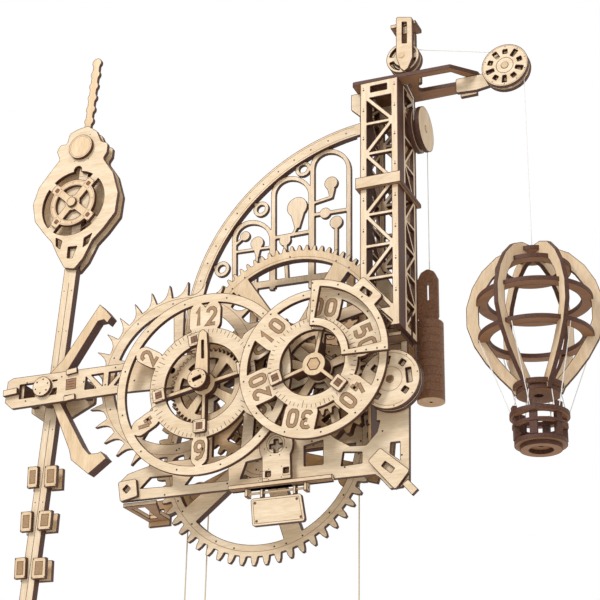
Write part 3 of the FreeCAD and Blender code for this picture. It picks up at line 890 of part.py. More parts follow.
tr_ = S["thread_radius"]
def around(c, r, a0, a1, n, y):
    return [(c[0] + r * math.cos(math.radians(a0 + (a1 - a0) * i / n)), y, c[1] + r * math.sin(math.radians(a0 + (a1 - a0) * i / n))) for i in range(n + 1)]
yt = 3.5
run = around(OUTP, 12.8, 0, 74.6, 8, yt) + around(MASTP, 9.8, 74.6, 215, 10, yt)
side = [(85.5, SP[0] + 15.5 * math.cos(math.radians(a)), SP[1] + 15.5 * math.sin(math.radians(a))) for a in range(180, -1, -15)]
t1 = cord("Run_top", run + [(80.9, 3.5, 170.0)], tr_)
t2 = cord("Run_down", [(80.9, 3.5, 170.0), (85.5, SP[0] - 15.5, 156.0)], tr_)
t3 = cord("Run_side", [(85.5, SP[0] - 15.5, 156.0)] + side + [(85.5, SP[0] + 15.5, -70.0)], tr_)
group("run_thread", t1 + t2 + t3)
lift = cord("Lift", [(AX, AY, OUTP[1]), (AX, AY, 7.0)], tr_)
group("lift_thread", lift)
rig = []
for k in range(6):
    a = 12 + 60 * k
    p1 = polar(A, 15.2, a + 7); p2 = polar(A, 17.6, a + 6)
    rig.extend(cord("Rig_in_%d" % k, [(p1[0], p1[1], -96.0), (p2[0], p2[1], -108.8)], tr_))
for k in range(6):
    a = 12 + 60 * k
    p1 = polar(A, 38.6, a + 9); p2 = polar(A, 19.6, a + 14)
    rig.extend(cord("Rig_out_%d" % k, [(p1[0], p1[1], -56.0), (p2[0], p2[1], -108.8)], tr_))
group("balloon_rigging", rig)

# ------------------------------------------------------------------ weight
W = (85.0, 40.5)
stack = holes(disc(W, 10.0, 36), square(W, 2.4))
stack2 = holes(disc(W, 9.5, 36), square(W, 2.4))
layers = []
for k in range(10):
    layers.append((stack, "%g" % (-76.0 + 6.1 * k), "5.3"))
    layers.append((stack2, "%g" % (-76.0 + 6.1 * k + 5.3), "0.8"))
weight_disc = plate("Weight_discs", layers, "XY")
NODES.pop()
hanger = face(rounded([(77.2, -14.2), (92.8, -14.2), (92.8, 18), (90, 24), (85, 26.5), (80, 24), (77.2, 18)], 3.0))
hanger = holes(hanger, rect((85, 8), 2.0, 13))
group("weight", [weight_disc, strip("Weight_hanger", hanger, 36.4, "dims.ply")])

# -------------------------------------------------------- shelf, gusset, sign
group("bottom_shelf", [strip("Shelf", holes(face([(-55, 5), (24, 5), (22, 14), (-55, 14)]), face([(-40, 8), (-8, 8), (-8, 11), (-40, 11)])), -136.0, "dims.ply", "XY"),
                       strip("Gusset", holes(face([(-145.3, 17), (-118, 17), (-127.5, 41), (-127.5, 57), (-145.3, 57)]), face([(-141, 22), (-130, 22), (-134, 50), (-141, 50)])), -136.0, "dims.ply", "XY"),
                       strip("Shelf_tab", face([(-55, -136), (22, -136), (22, -131), (-55, -131)]), 11.0, "dims.ply"),
                       strip("Sign_lug_a", face([(6.5, -142), (12.5, -142), (12.5, -136), (6.5, -136)]), -42.5, "2.4", "YZ"),
                       strip("Sign_lug_b", face([(6.5, -142), (12.5, -142), (12.5, -136), (6.5, -136)]), 2.4, "2.4", "YZ")])
sg = face(rounded([(-38.5, -143.4), (0.0, -143.4), (3.6, -163.6), (-36.5, -163.6)], 2.0))
tab_a = holes(face([(-34, -144), (-28, -144), (-28, -137.6), (-34, -137.6)]), square((-31, -139.4), 2.6))
tab_b = holes(face([(-9, -144), (-3, -144), (-3, -137.6), (-9, -137.6)]), square((-6, -139.4), 2.6))
eyes = [strip("Sign_plate", sg, 8.0, "dims.ply")]
for i, xx in enumerate((-31.0, -6.0)):
    e = holes(face([(7.4, -143.4), (11.6, -143.4), (11.6, -137.2), (7.4, -137.2)]), square((9.5, -139.4), 2.6))
    eyes.append(strip("Eye_%d" % i, e, xx, "2", "YZ"))
group("nameplate", eyes)

# ---------------------------------------------------------------- rear frame
rf = join(bar((-112, 2), (62, 2), 14.0, 6), face([(-120, -8), (-100, -8), (-100, 14), (-120, 14)]),
          bar((62, -60), (62, 162), 12.0), bar((-75, 2), (-45.3, -93.8), 12.0), bar((45, 2), (-45.3, -93.8), 12.0),
          disc(GREAT, 13.0, 30), disc(IDL, 11.0, 24), bar((-45.3, -93.8), (-136, -130), 12.0), bar((-45.3, -93.8), (40, -120), 12.0),
          face([(-145.3, -140), (-127.5, -140), (-127.5, -120), (-145.3, -120)]), bar((44, -120), (52, -40), 10.0),
          disc((-75, 2), 10, 24), disc((45, 2), 10, 24), bar((52, -40), (62, 2), 10.0), bar((-75, 2), (-112, 2), 12.0),
          disc((-101.75, -119), 7.0, 20), disc((17.5, -121), 7.0, 20), bar((9.5, -13.6), (9.5, 2), 12), bar((-101.75, -119), (-101.75, -112), 8))
rf = holes(rf, face([(-139, -134), (-133, -134), (-133, -127), (-139, -127)]))
rear = plate("Rear_plate", [(rf, "dims.y_rear", "dims.ply")])
NODES.pop()
for n_, xs in (("Screw_hole_left", -75.0), ("Screw_hole_right", 45.0)):
    drill = doc.addObject("Part::Cylinder", n_)
    drill.setExpression("Radius", "dims.screw_hole")
    drill.Height = 12
    drill.Placement = FreeCAD.Placement(FRAME + V(xs, 53, 2.0), FreeCAD.Rotation(V(1, 0, 0), -90))
    cut = doc.addObject("Part::Cut", "Cut_" + n_)
    cut.Base = rear
    cut.Tool = drill
    rear = cut
rear.Label = "rear_frame"
NODES.append(rear)
group("frame_spacers", [strip("Spacer_arc_left", rect((-112, 2), 9, 9), 49.0, "8"),
                        strip("Spacer_lattice", rect((-60, 5.5), 8, 6), 52.0, "5"), strip("Spacer_lattice_b", rect((20, 5.5), 8, 6), 52.0, "5"),
                        strip("Spacer_tower_low", rect((62, 40), 12, 14), YB, "27.5"),
                        strip("Spacer_tower_mid", rect((62, 100), 12, 14), YB, "27.5"),
                        strip("Spacer_tower_top", rect((62, 150), 12, 14), YB, "16.5"),
                        strip("Spacer_right", face([(17, -128), (57, -128), (57, -76), (17, -76)]), 46.0, "dims.ply", "YZ"),
                        strip("Spacer_top_b", rect((62, 156), 12, 8), 49.0, "8"),
                        strip("Cord_guide_a", disc((-101.75, -119), 7.2, 24), 50.5, "6.5"),
                        strip("Cord_guide_b", disc((17.5, -121), 7.2, 24), 50.5, "6.5")])
yc = 53.0
cr = S["cord_radius"]
ca_ = cord("Cord_left", [(-110.0, yc, -212.0)] + around((-101.75, -119), 8.25, 180, 0, 24, yc) + [(-93.5, yc, -212.0)], cr)
gd = 14.9
cb_ = cord("Cord_right", [(25.75, yc, -212.0)] + around((17.5, -121), 8.25, 0, 110, 14, yc) + around(GREAT, gd, 290, 240, 6, yc), cr)
knots = []
for i, (xx) in enumerate((-110.0, -93.5, 25.75)):
    s_ = doc.addObject("Part::Sphere", "Knot_%d" % i)
    s_.Radius = 1.6
    s_.Placement = FreeCAD.Placement(FRAME + V(xx, yc, -213.6), FreeCAD.Rotation())
    knots.append(s_)
group("drive_cords", ca_ + cb_ + knots)

# ------------------------------------------------------------ check and write
doc.recompute()
bad = [(o.Label, o.State) for o in doc.Objects if "Invalid" in o.State or "Error" in o.State]
for o in NODES:
    if o.Shape.isNull() or not o.Shape.isValid():
        bad.append((o.Label, "shape"))
if bad:
    raise RuntimeError("pieces that did not build: %s" % bad)
os.makedirs("parts", exist_ok=True)
for o in NODES:
    bb = o.Shape.BoundBox
    print("%-20s solids %3d  vol %9.1f  x %.1f %.1f  y %.1f %.1f  z %.1f %.1f" % (
        o.Label, len(o.Shape.Solids), o.Shape.Volume, bb.XMin, bb.XMax, bb.YMin, bb.YMax, bb.ZMin, bb.ZMax))
    o.Shape.exportStep("parts/%s.step" % o.Label)
print("nodes", len(NODES))
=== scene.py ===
import bpy, bmesh, math, json
from mathutils import Vector, Matrix


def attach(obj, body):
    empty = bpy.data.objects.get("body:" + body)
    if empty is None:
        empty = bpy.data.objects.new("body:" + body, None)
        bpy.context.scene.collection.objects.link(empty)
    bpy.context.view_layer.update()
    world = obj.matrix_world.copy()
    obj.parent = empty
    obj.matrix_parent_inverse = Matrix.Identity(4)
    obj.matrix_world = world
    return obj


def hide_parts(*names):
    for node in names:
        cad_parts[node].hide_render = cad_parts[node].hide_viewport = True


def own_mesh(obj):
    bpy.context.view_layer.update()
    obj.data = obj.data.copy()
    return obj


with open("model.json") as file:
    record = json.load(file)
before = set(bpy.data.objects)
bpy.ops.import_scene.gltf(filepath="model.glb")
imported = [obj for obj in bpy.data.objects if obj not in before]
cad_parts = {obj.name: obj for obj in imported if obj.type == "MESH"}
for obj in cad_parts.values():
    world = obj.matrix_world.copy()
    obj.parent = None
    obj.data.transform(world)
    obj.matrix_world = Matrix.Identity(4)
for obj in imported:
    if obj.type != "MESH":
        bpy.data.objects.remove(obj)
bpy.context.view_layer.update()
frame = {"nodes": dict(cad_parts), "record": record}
scene = bpy.context.scene


def W(x, y, z):
    """Dial coordinates in millimetres to the row frame in metres."""
    return Vector(((x + 15.0) / 1000, (y - 60.0) / 1000, (z - 2.0) / 1000))


def polar(c, r, deg):
    return (c[0] + r * math.cos(math.radians(deg)), c[1] + r * math.sin(math.radians(deg)))


MIN = (12.2, -52.3)
HOUR = (-77.0, -53.0)
UP = (-21.07, -20.53)
ESC = (-108.97, -34.48)
TRA = (-43.62, -66.49)
GREAT = (-45.3, -93.8)
IDL = (9.03, -13.10)
PIV = (-220.7, -32.8)
KNOB = (68.2, -70.2)
OUTP = (159.7, 161.8)
MASTP = (81.2, 186.6)
ARC = (44.0, 6.0)

# ------------------------------------------------------------------ materials
def lin(c):
    return tuple(((v / 255) / 12.92 if v / 255 <= 0.04045 else ((v / 255 + 0.055) / 1.055) ** 2.4) for v in c)


def new_mat(name):
    m = bpy.data.materials.new(name)
    m.use_nodes = True
    nt = m.node_tree
    nt.nodes.clear()
    out = nt.nodes.new("ShaderNodeOutputMaterial")
    b = nt.nodes.new("ShaderNodeBsdfPrincipled")
    nt.links.new(b.outputs[0], out.inputs[0])
    return m, nt, b


def wood(name, axes, face=(233, 212, 182), edge=(84, 47, 28), grain=(1.0, 1.0, 1.0), rough=0.62, painted_under_shade=None):
    """Laser-cut birch sheet: pale grained faces square to the given axes, burnt brown edges elsewhere, and optionally
    painted shade on the faces that look down.
    """
    m, nt, b = new_mat(name)
    N, L = nt.nodes, nt.links
    tc = N.new("ShaderNodeTexCoord")
    mp = N.new("ShaderNodeMapping")
    mp.inputs["Scale"].default_value = tuple(g * 1.0 for g in grain)
    L.new(tc.outputs["Object"], mp.inputs[0])
    n1 = N.new("ShaderNodeTexNoise")
    n1.inputs["Scale"].default_value = 60
    n1.inputs["Detail"].default_value = 5
    n1.inputs["Roughness"].default_value = 0.6
    L.new(mp.outputs[0], n1.inputs["Vector"])
    n2 = N.new("ShaderNodeTexNoise")
    n2.inputs["Scale"].default_value = 420
    n2.inputs["Detail"].default_value = 3
    L.new(mp.outputs[0], n2.inputs["Vector"])
    r1 = N.new("ShaderNodeValToRGB")
    f = lin(face)
    r1.color_ramp.elements[0].position = 0.32
    r1.color_ramp.elements[0].color = (f[0] * 0.86, f[1] * 0.80, f[2] * 0.72, 1)
    r1.color_ramp.elements[1].position = 0.68
    r1.color_ramp.elements[1].color = (min(1, f[0] * 1.04), min(1, f[1] * 1.05), min(1, f[2] * 1.06), 1)
    L.new(n1.outputs["Fac"], r1.inputs[0])
    r2 = N.new("ShaderNodeValToRGB")
    r2.color_ramp.elements[0].position = 0.35
    r2.color_ramp.elements[0].color = (0.90, 0.87, 0.82, 1)
    r2.color_ramp.elements[1].position = 0.62
    r2.color_ramp.elements[1].color = (1, 1, 1, 1)
    L.new(n2.outputs["Fac"], r2.inputs[0])
    mx = N.new("ShaderNodeMix")
    mx.data_type = "RGBA"
    mx.blend_type = "MULTIPLY"
    mx.inputs["Factor"].default_value = 1.0
    L.new(r1.outputs[0], mx.inputs["A"])
    L.new(r2.outputs[0], mx.inputs["B"])
    # burnt edge
    n3 = N.new("ShaderNodeTexNoise")
    n3.inputs["Scale"].default_value = 900
    L.new(tc.outputs["Object"], n3.inputs["Vector"])
    e = lin(edge)
    r3 = N.new("ShaderNodeValToRGB")
    r3.color_ramp.elements[0].position = 0.3
    r3.color_ramp.elements[0].color = (e[0] * 0.55, e[1] * 0.5, e[2] * 0.5, 1)
    r3.color_ramp.elements[1].position = 0.75
    r3.color_ramp.elements[1].color = (e[0] * 1.3, e[1] * 1.3, e[2] * 1.3, 1)
    L.new(n3.outputs["Fac"], r3.inputs[0])
    geo = N.new("ShaderNodeNewGeometry")
    last = None
    for ax in axes:
        d = N.new("ShaderNodeVectorMath")
        d.operation = "DOT_PRODUCT"
        d.inputs[1].default_value = ax
        L.new(geo.outputs["True Normal"], d.inputs[0])
        a = N.new("ShaderNodeMath")
        a.operation = "ABSOLUTE"
        L.new(d.outputs["Value"], a.inputs[0])
        if last is None:
            last = a
        else:
            mxm = N.new("ShaderNodeMath")
            mxm.operation = "MAXIMUM"
            L.new(last.outputs[0], mxm.inputs[0])
            L.new(a.outputs[0], mxm.inputs[1])
            last = mxm
    st = N.new("ShaderNodeMapRange")
    st.inputs["From Min"].default_value = 0.93
    st.inputs["From Max"].default_value = 0.97
    L.new(last.outputs[0], st.inputs["Value"])
    mix = N.new("ShaderNodeMix")
    mix.data_type = "RGBA"
    L.new(st.outputs[0], mix.inputs["Factor"])
    L.new(r3.outputs[0], mix.inputs["A"])
    L.new(mx.outputs["Result"], mix.inputs["B"])
    out = mix.outputs["Result"]
    if painted_under_shade:
        # painted shade: the faces that look down are multiplied browner, standing in for the shade beneath each sheet
        dz = N.new("ShaderNodeVectorMath")
        dz.operation = "DOT_PRODUCT"
        dz.inputs[1].default_value = (0, 0, -1)
        L.new(geo.outputs["True Normal"], dz.inputs[0])
        painted_shade_mask = N.new("ShaderNodeMapRange")
        painted_shade_mask.inputs["From Min"].default_value = 0.9
        painted_shade_mask.inputs["From Max"].default_value = 0.95
        L.new(dz.outputs["Value"], painted_shade_mask.inputs["Value"])
        painted_shade_mix = N.new("ShaderNodeMix")
        painted_shade_mix.data_type = "RGBA"
        painted_shade_mix.blend_type = "MULTIPLY"
        L.new(painted_shade_mask.outputs[0], painted_shade_mix.inputs["Factor"])
        L.new(out, painted_shade_mix.inputs["A"])
        painted_shade_mix.inputs["B"].default_value = lin(painted_under_shade) + (1,)
        out = painted_shade_mix.outputs["Result"]
    L.new(out, b.inputs["Base Color"])
    b.inputs["Roughness"].default_value = rough
    bp = N.new("ShaderNodeBump")
    bp.inputs["Strength"].default_value = 0.12
    bp.inputs["Distance"].default_value = 0.0003
    L.new(n2.outputs["Fac"], bp.inputs["Height"])
    L.new(bp.outputs[0], b.inputs["Normal"])
    return m


def plain(name, col, rough=0.7, scale=700, vary=0.12):
    m, nt, b = new_mat(name)
    N, L = nt.nodes, nt.links
    tc = N.new("ShaderNodeTexCoord")
    n = N.new("ShaderNodeTexNoise")
    n.inputs["Scale"].default_value = scale
    L.new(tc.outputs["Object"], n.inputs["Vector"])
    r = N.new("ShaderNodeValToRGB")
    c = lin(col)
    r.color_ramp.elements[0].position = 0.35
    r.color_ramp.elements[0].color = tuple(v * (1 - vary) for v in c) + (1,)
    r.color_ramp.elements[1].position = 0.65
    r.color_ramp.elements[1].color = tuple(min(1, v * (1 + vary)) for v in c) + (1,)
    L.new(n.outputs["Fac"], r.inputs[0])
    L.new(r.outputs[0], b.inputs["Base Color"])
    b.inputs["Roughness"].default_value = rough
    return m


Y, Z, X = (0, 1, 0), (0, 0, 1), (1, 0, 0)
birch_y = wood("birch_front", [Y], grain=(0.35, 1, 2.2))
# painted shade: the wheels, spiders and fittings set a little behind the front sheets get a slightly browner face tone
birch_midshade = wood("birch_front_b", [Y], face=(228, 202, 166), grain=(2.2, 1, 0.4))
birch_v = wood("birch_upright", [Y], face=(234, 213, 184), grain=(2.4, 1, 0.3))
# painted shade: the sheets set deep behind the front layers get a browner face tone than the front birch
birch_deep = wood("birch_deep", [Y], face=(204, 170, 128), grain=(0.5, 1, 1.8))
# the colour (178,150,128) given to the level, mixed and box sheets is painted shade, multiplied into their downward
# faces
birch_z = wood("birch_level", [Z], face=(214, 184, 150), grain=(0.4, 2, 1), painted_under_shade=(178, 150, 128))
birch_x = wood("birch_side", [X], face=(226, 203, 172), grain=(1, 2, 0.3))
birch_yz = wood("birch_mixed", [Y, Z], face=(226, 203, 172), grain=(0.5, 1, 1.6), painted_under_shade=(178, 150, 128))
birch_xyz = wood("birch_box", [X, Y, Z], face=(224, 200, 168), grain=(0.6, 1, 1.4), painted_under_shade=(178, 150, 128))
ang = [12, 72, 132]
birch_rib = wood("birch_ribs", [(-math.sin(math.radians(a)), math.cos(math.radians(a)), 0) for a in ang], face=(228, 204, 172), grain=(1.5, 1.5, 0.4))
dark_z = wood("burnt_stack", [Z], face=(196, 160, 122), edge=(128, 88, 60), grain=(1, 1, 1))
dowel = plain("dowel", (206, 176, 138), 0.6)
pin_m = plain("pin_head", (38, 24, 18), 0.5)
line_m = plain("engraved_line", (88, 58, 38), 0.8)
fine_m = plain("engraved_fine", (150, 112, 82), 0.8)
fill_m = plain("engraved_fill", (160, 128, 94), 0.8)
tenon_m = plain("tenon_end", (122, 84, 56), 0.75)
thread_m = plain("thread_white", (232, 230, 226), 0.6, 3000)
cord_m = plain("cord_natural", (206, 188, 158), 0.8, 2500)

MATS = {
    "hour_dial": birch_y, "minute_dial": birch_y, "hour_spider": birch_midshade, "minute_spider": birch_midshade,
    "hour_retainers": birch_v, "minute_retainers": birch_v, "minute_wheel": birch_midshade, "minute_arbor": birch_deep,
    "hour_wheel": birch_midshade, "hour_hub": birch_deep, "transfer_wheel": birch_deep, "transfer_arbor": birch_deep,
    "upper_wheel": birch_midshade, "upper_arbor": birch_deep, "escape_wheel": birch_y, "escape_hub": birch_deep,
    "idler_wheel": birch_deep, "idler_hub": birch_deep, "great_wheel": birch_y, "winding_drum": birch_deep,
    "studs": dowel, "front_bushes": birch_deep, "front_frame": birch_y, "front_plates": birch_y,
    "tower_front": birch_v, "tower_rear": birch_v, "tower_sides": birch_x, "tower_collar": birch_yz,
    "jib_plate": birch_z, "jib_brackets": birch_y, "mast": birch_yz, "arc_ring": birch_y, "arc_lattice": birch_v,
    "window_mask": birch_y, "hour_hand": birch_midshade, "pendulum_rod": birch_v, "pendulum_bob": birch_y,
    "pendulum_fittings": birch_midshade, "anchor": birch_midshade, "pendulum_hub": birch_deep, "arm_rear_plate": birch_y,
    "winding_knob": birch_y, "ratchet_drum": birch_deep, "outer_pulley": birch_y, "mast_pulley": birch_y,
    "side_pulley": birch_x, "balloon_ribs": birch_rib, "balloon_rings": birch_z, "basket": birch_z,
    "balloon_rigging": thread_m, "lift_thread": thread_m, "run_thread": thread_m, "weight": dark_z,
    "bottom_shelf": birch_xyz, "nameplate": birch_y, "rear_frame": birch_deep, "frame_spacers": birch_deep,
    "drive_cords": cord_m,
}
for name, ob in frame["nodes"].items():
    m = MATS.get(name, birch_y)
    ob.data.materials.clear()
    ob.data.materials.append(m)
    for p in ob.data.polygons:
        p.use_smooth = False

AXES = {m.name: a for m, a in ((birch_y, [Y]), (birch_midshade, [Y]), (birch_v, [Y]), (birch_deep, [Y]), (birch_z, [Z]), (birch_x, [X]),
                                (birch_yz, [Y, Z]), (birch_xyz, [X, Y, Z]), (dark_z, []), (birch_rib, []))}
AXES["birch_ribs"] = [(-math.sin(math.radians(a)), math.cos(math.radians(a)), 0) for a in ang]
burn_m = plain("burnt_outline", (82, 50, 32), 0.85)


def outlines():
    """The thin scorched line that the laser leaves around every cut, laid just proud of each sheet's faces."""
    per = {}
    for name, ob in frame["nodes"].items():
        axes = [Vector(a) for a in AXES.get(ob.data.materials[0].name, [])]
        if not axes:
            continue
        bm = bmesh.new()
        bm.from_mesh(ob.data)
        bmesh.ops.remove_doubles(bm, verts=bm.verts, dist=1e-7)
        bm.normal_update()
        out = per.setdefault(BODY_OF[name], [])
        w, up = 0.00042, 0.00003
        for f in bm.faces:
            n = f.normal
            if not any(abs(n.dot(a)) > 0.97 for a in axes):
                continue
            for lp in f.loops:
                e = lp.edge
                if len(e.link_faces) != 2:
                    continue
                g = e.link_faces[0] if e.link_faces[1] is f else e.link_faces[1]
                if n.dot(g.normal) > 0.8:
                    continue
                a, c = lp.vert.co, lp.link_loop_next.vert.co
                d = c - a
                if d.length < 1e-6:
                    continue
                inn = n.cross(d).normalized() * w
                lift = n * up
                out.append((a + lift, c + lift, c + inn + lift, a + inn + lift))
        bm.free()
    for body, quads in per.items():
        me = bpy.data.meshes.new("burnt_%s" % body)
        me.from_pydata([v for q in quads for v in q], [], [tuple(range(4 * i, 4 * i + 4)) for i in range(len(quads))])
        ob = bpy.data.objects.new("burnt_%s" % body, me)
        scene.collection.objects.link(ob)
        ob.data.materials.append(burn_m)
        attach(ob, body)


BODY_OF = {n: b for b, ns in frame["record"]["behaviour"]["bodies"].items() for n in ns}
outlines()

# ------------------------------------------------------------ surface details
class Sheet:
    """Flat marks laid on a plate's face, gathered into one mesh per body and material."""
    def __init__(self):
        self.items = {}

    def add(self, body, mat, verts):
        self.items.setdefault((body, mat.name), []).append(verts)

    def build(self):
        for (body, mname), polys in self.items.items():
            me = bpy.data.meshes.new("marks")
            bm = bmesh.new()
            for pts in polys:
                try:
                    bm.faces.new([bm.verts.new(W(*p)) for p in pts])
                except ValueError:
                    pass
            bmesh.ops.triangulate(bm, faces=[f for f in bm.faces if len(f.verts) > 4])
            bm.to_mesh(me)
            bm.free()
            ob = bpy.data.objects.new("marks_%s_%s" % (body, mname), me)
            scene.collection.objects.link(ob)
            ob.data.materials.append(bpy.data.materials[mname])
            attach(ob, body)


SH = Sheet()


def at(y, pts):
    return [(p[0], y, p[1]) for p in pts]


def side_at(x, pts):
    return [(x, p[0], p[1]) for p in pts]


def dot(body, c, y, r=0.72, mat=None, n=10, place=at):
    SH.add(body, mat or pin_m, place(y, [polar(c, r, 360 * k / n) for k in range(n)]))


def line(body, p, q, y, w=0.35, mat=None, place=at):
    dx, dz = q[0] - p[0], q[1] - p[1]
    n = math.hypot(dx, dz) or 1
    ox, oz = -dz / n * w / 2, dx / n * w / 2
    SH.add(body, mat or line_m, place(y, [(p[0] + ox, p[1] + oz), (p[0] - ox, p[1] - oz), (q[0] - ox, q[1] - oz), (q[0] + ox, q[1] + oz)]))


def path(body, pts, y, w=0.35, mat=None, closed=False, place=at):
    """A mitred line of width w through pts."""
    n = len(pts)
    left, right = [], []
    for i, p in enumerate(pts):
        a = pts[i - 1] if (i > 0 or closed) else None
        b = pts[(i + 1) % n] if (i < n - 1 or closed) else None
        d = []
        for s, t in ((a, p), (p, b)):
            if s is not None and t is not None:
                l = math.hypot(t[0] - s[0], t[1] - s[1]) or 1
                d.append(((t[0] - s[0]) / l, (t[1] - s[1]) / l))
        tx, tz = sum(v[0] for v in d), sum(v[1] for v in d)
        l = math.hypot(tx, tz) or 1
        tx, tz = tx / l, tz / l
        k = 1.0 / max(0.45, abs(tx * d[0][0] + tz * d[0][1]))
        ox, oz = -tz * w / 2 * k, tx * w / 2 * k
        left.append((p[0] + ox, p[1] + oz))
        right.append((p[0] - ox, p[1] - oz))
    m = n if closed else n - 1
    for i in range(m):
        j = (i + 1) % n
        SH.add(body, mat or line_m, place(y, [left[i], right[i], right[j], left[j]]))


def circle(body, c, r, y, w=0.35, mat=None, a0=0, a1=360, n=72, place=at):
    full = abs(a1 - a0) >= 360
    pts = [polar(c, r, a0 + (a1 - a0) * k / n) for k in range(n if full else n + 1)]
    path(body, pts, y, w, mat, closed=full, place=place)


def patch(body, pts, y, mat, place=at):
    SH.add(body, mat, place(y, pts))


def rectp(c, wx, wz, deg=0.0):
    a = math.radians(deg)
    return [(c[0] + x * math.cos(a) - z * math.sin(a), c[1] + x * math.sin(a) + z * math.cos(a))
            for x, z in ((-wx / 2, -wz / 2), (wx / 2, -wz / 2), (wx / 2, wz / 2), (-wx / 2, wz / 2))]


DIGITS = {
    "0": [[(-1, .45), (-.85, .8), (-.45, 1), (.45, 1), (.85, .8), (1, .45), (1, -.45), (.85, -.8), (.45, -1), (-.45, -1), (-.85, -.8), (-1, -.45)]],
    "1": [[(-.75, .55), (.15, 1), (.15, -1)]],
    "2": [[(-1, .5), (-.8, .85), (-.4, 1), (.4, 1), (.85, .8), (1, .45), (.8, .12), (-.95, -.98), (1, -1)]],
    "3": [[(-1, .78), (-.55, 1), (.4, 1), (.9, .75), (.9, .35), (.45, .04), (-.25, .04)], [(.45, .04), (1, -.3), (1, -.7), (.5, -1), (-.5, -1), (-1, -.75)]],
    "4": [[(.45, -1), (.45, .1)], [(.05, 1), (-.9, -.35)], [(-1, -.45), (1, -.45)]],
    "5": [[(.9, 1), (-.85, 1), (-.95, .12), (.3, .22), (.9, -.05), (1, -.5), (.75, -.88), (.2, -1), (-1, -.9)]],
    "6": [[(.85, .85), (.3, 1), (-.45, .8), (-.95, .2), (-1, -.5), (-.75, -.88), (-.2, -1), (.3, -1), (.8, -.85), (1, -.45), (.8, -.02), (.3, .14), (-.4, .1), (-.9, -.2)]],
    "8": [[(-.55, .1), (-.85, .5), (-.6, .88), (0, 1), (.6, .88), (.85, .5), (.55, .1), (-.55, .02), (-1, -.45), (-.7, -.88), (0, -1), (.7, -.88), (1, -.45), (.55, .04)]],
}


def digit(body, ch, c, deg, y, hx, hz):
    """One engraved digit: a brown stroke with a darker outline; deg turns its top away from the dial centre."""
    a = math.radians(deg - 90)
    closed = ch in "08"
    for pts in DIGITS[ch]:
        q = [(c[0] + x * hx * math.cos(a) - z * hz * math.sin(a), c[1] + x * hx * math.sin(a) + z * hz * math.cos(a)) for x, z in pts]
        path(body, q, y - 0.05, 3.0, line_m, closed)
        path(body, q, y - 0.10, 2.1, fill_m, closed)


def numerals(body, c, r, y, first, words, hx=3.2, hz=6.3):
    for k, word in enumerate(words):
        a = first + 60 * k
        p = polar(c, r, a)
        t = (math.sin(math.radians(a)), -math.cos(math.radians(a)))
        offs = [0.0] if len(word) == 1 else [-5.4, 5.4]
        for ch, o in zip(word, offs):
            digit(body, ch, (p[0] + t[0] * o, p[1] + t[1] * o), a, y, hx if ch != "1" else 1.8, hz)


numerals("hour", HOUR, 52.0, 1.0, 90, ["12", "2", "4", "6", "8", "10"])
numerals("minute", MIN, 42.2, -5.0, 78, ["00", "10", "20", "30", "40", "50"], 3.1, 5.6)

# graduations
for k in range(72):
    a = 90 + 5 * k
    lo = 36.4 if k % 12 == 0 else (37.6 if k % 6 == 0 else 39.2)
    line("hour", polar(HOUR, lo, a), polar(HOUR, 42.0, a), 0.94, 0.42, line_m)
for k in range(60):
    a = 78 + 6 * k
    lo = 28.6 if k % 10 == 0 else (30.0 if k % 5 == 0 else 31.4)
    line("minute", polar(MIN, lo, a), polar(MIN, 34.0, a), -5.06, 0.40, line_m)
for k in range(12):
    dot("hour", polar(HOUR, 67.0, 15 + 30 * k), 0.93)
    dot("minute", polar(MIN, 53.4, 8 + 30 * k), -5.07)
for a in (11, 101, 191, 271):
    c = polar(HOUR, 34.5, a)
    patch("hour", rectp(c, 4.6, 4.6, a), -2.05, tenon_m)
    path("hour", rectp(c, 5.0, 5.0, a), -2.08, 0.35, line_m, True)
    for s in (-1, 1):
        line("hour", (c[0] - 3.6, c[1] + s * 3.6), (c[0] + 3.6, c[1] + s * 3.6), -2.06, 0.3, fine_m)
    dot("hour", (c[0] - 3.6, c[1] + 3.6), -2.07, 0.45)
    dot("hour", (c[0] + 3.6, c[1] - 3.6), -2.07, 0.45)
for a in (198, 318, 78):
    c = polar(MIN, 28.5, a)
    patch("minute", rectp(c, 4.6, 4.6, a), -8.05, tenon_m)
    path("minute", rectp(c, 5.0, 5.0, a), -8.08, 0.35, line_m, True)
    dot("minute", (c[0] - 3.6, c[1] + 3.6), -8.07, 0.45)
    dot("minute", (c[0] + 3.6, c[1] - 3.6), -8.07, 0.45)

# wheels
for a in (11, 101, 191, 271):
    line("hour", polar(HOUR, 32.2, a), polar(HOUR, 36.8, a), -2.09, 0.5, pin_m)
for a in (198, 318, 78):
    line("minute", polar(MIN, 26.2, a), polar(MIN, 30.8, a), -8.09, 0.5, pin_m)
for k in range(5):
    for c, r, b, y, st in ((UP, 73.0, "upper", 30.95, 127), (ESC, 60.0, "escape", 22.95, 20), (GREAT, 76.5, "great", 41.95, -70)):
        a = st + 72 * k
        for d in (-5, 5):
            dot(b, polar(c, r, a + d), y)
        dot(b, polar(c, r, a + 36), y)
        dot(b, polar(c, r * 0.45, a), y)
circle("escape", ESC, 63.0, 22.93, 0.35, fine_m)
circle("upper", UP, 72.2, 30.93, 0.3, fine_m)
circle("great", GREAT, 77.8, 41.93, 0.35, fine_m)
circle("great", GREAT, 20.5, 41.93, 0.35, fine_m)
for k in range(10):
    dot("great", polar(GREAT, 17.0, 36 * k), 41.92)
for a in (26, 62, 98, 134, 170, 206, 242, 278, 314, 350):
    dot("great", polar(GREAT, 76.0, a), 41.92)

# arc and its roundels
for k in range(14):
    dot("frame", polar(ARC, 156.2, 100 + 5.7 * k), 45.95)
circle("frame", ARC, 159.8, 45.93, 0.32, fine_m, 97, 178)
circle("frame", ARC, 152.8, 45.93, 0.32, fine_m, 97, 178)

# mask
for a in (-1, 22, 44, 66, 86):
    dot("frame", polar(MIN, 57.8, a + 1), -13.05)
for a in (4, 44, 82):
    dot("frame", polar(MIN, 27.8, a), -13.05)
for r in (36, 44, 52):
    dot("frame", polar(MIN, r, 0.2), -13.05)
    dot("frame", polar(MIN, r, 85.2), -13.05)

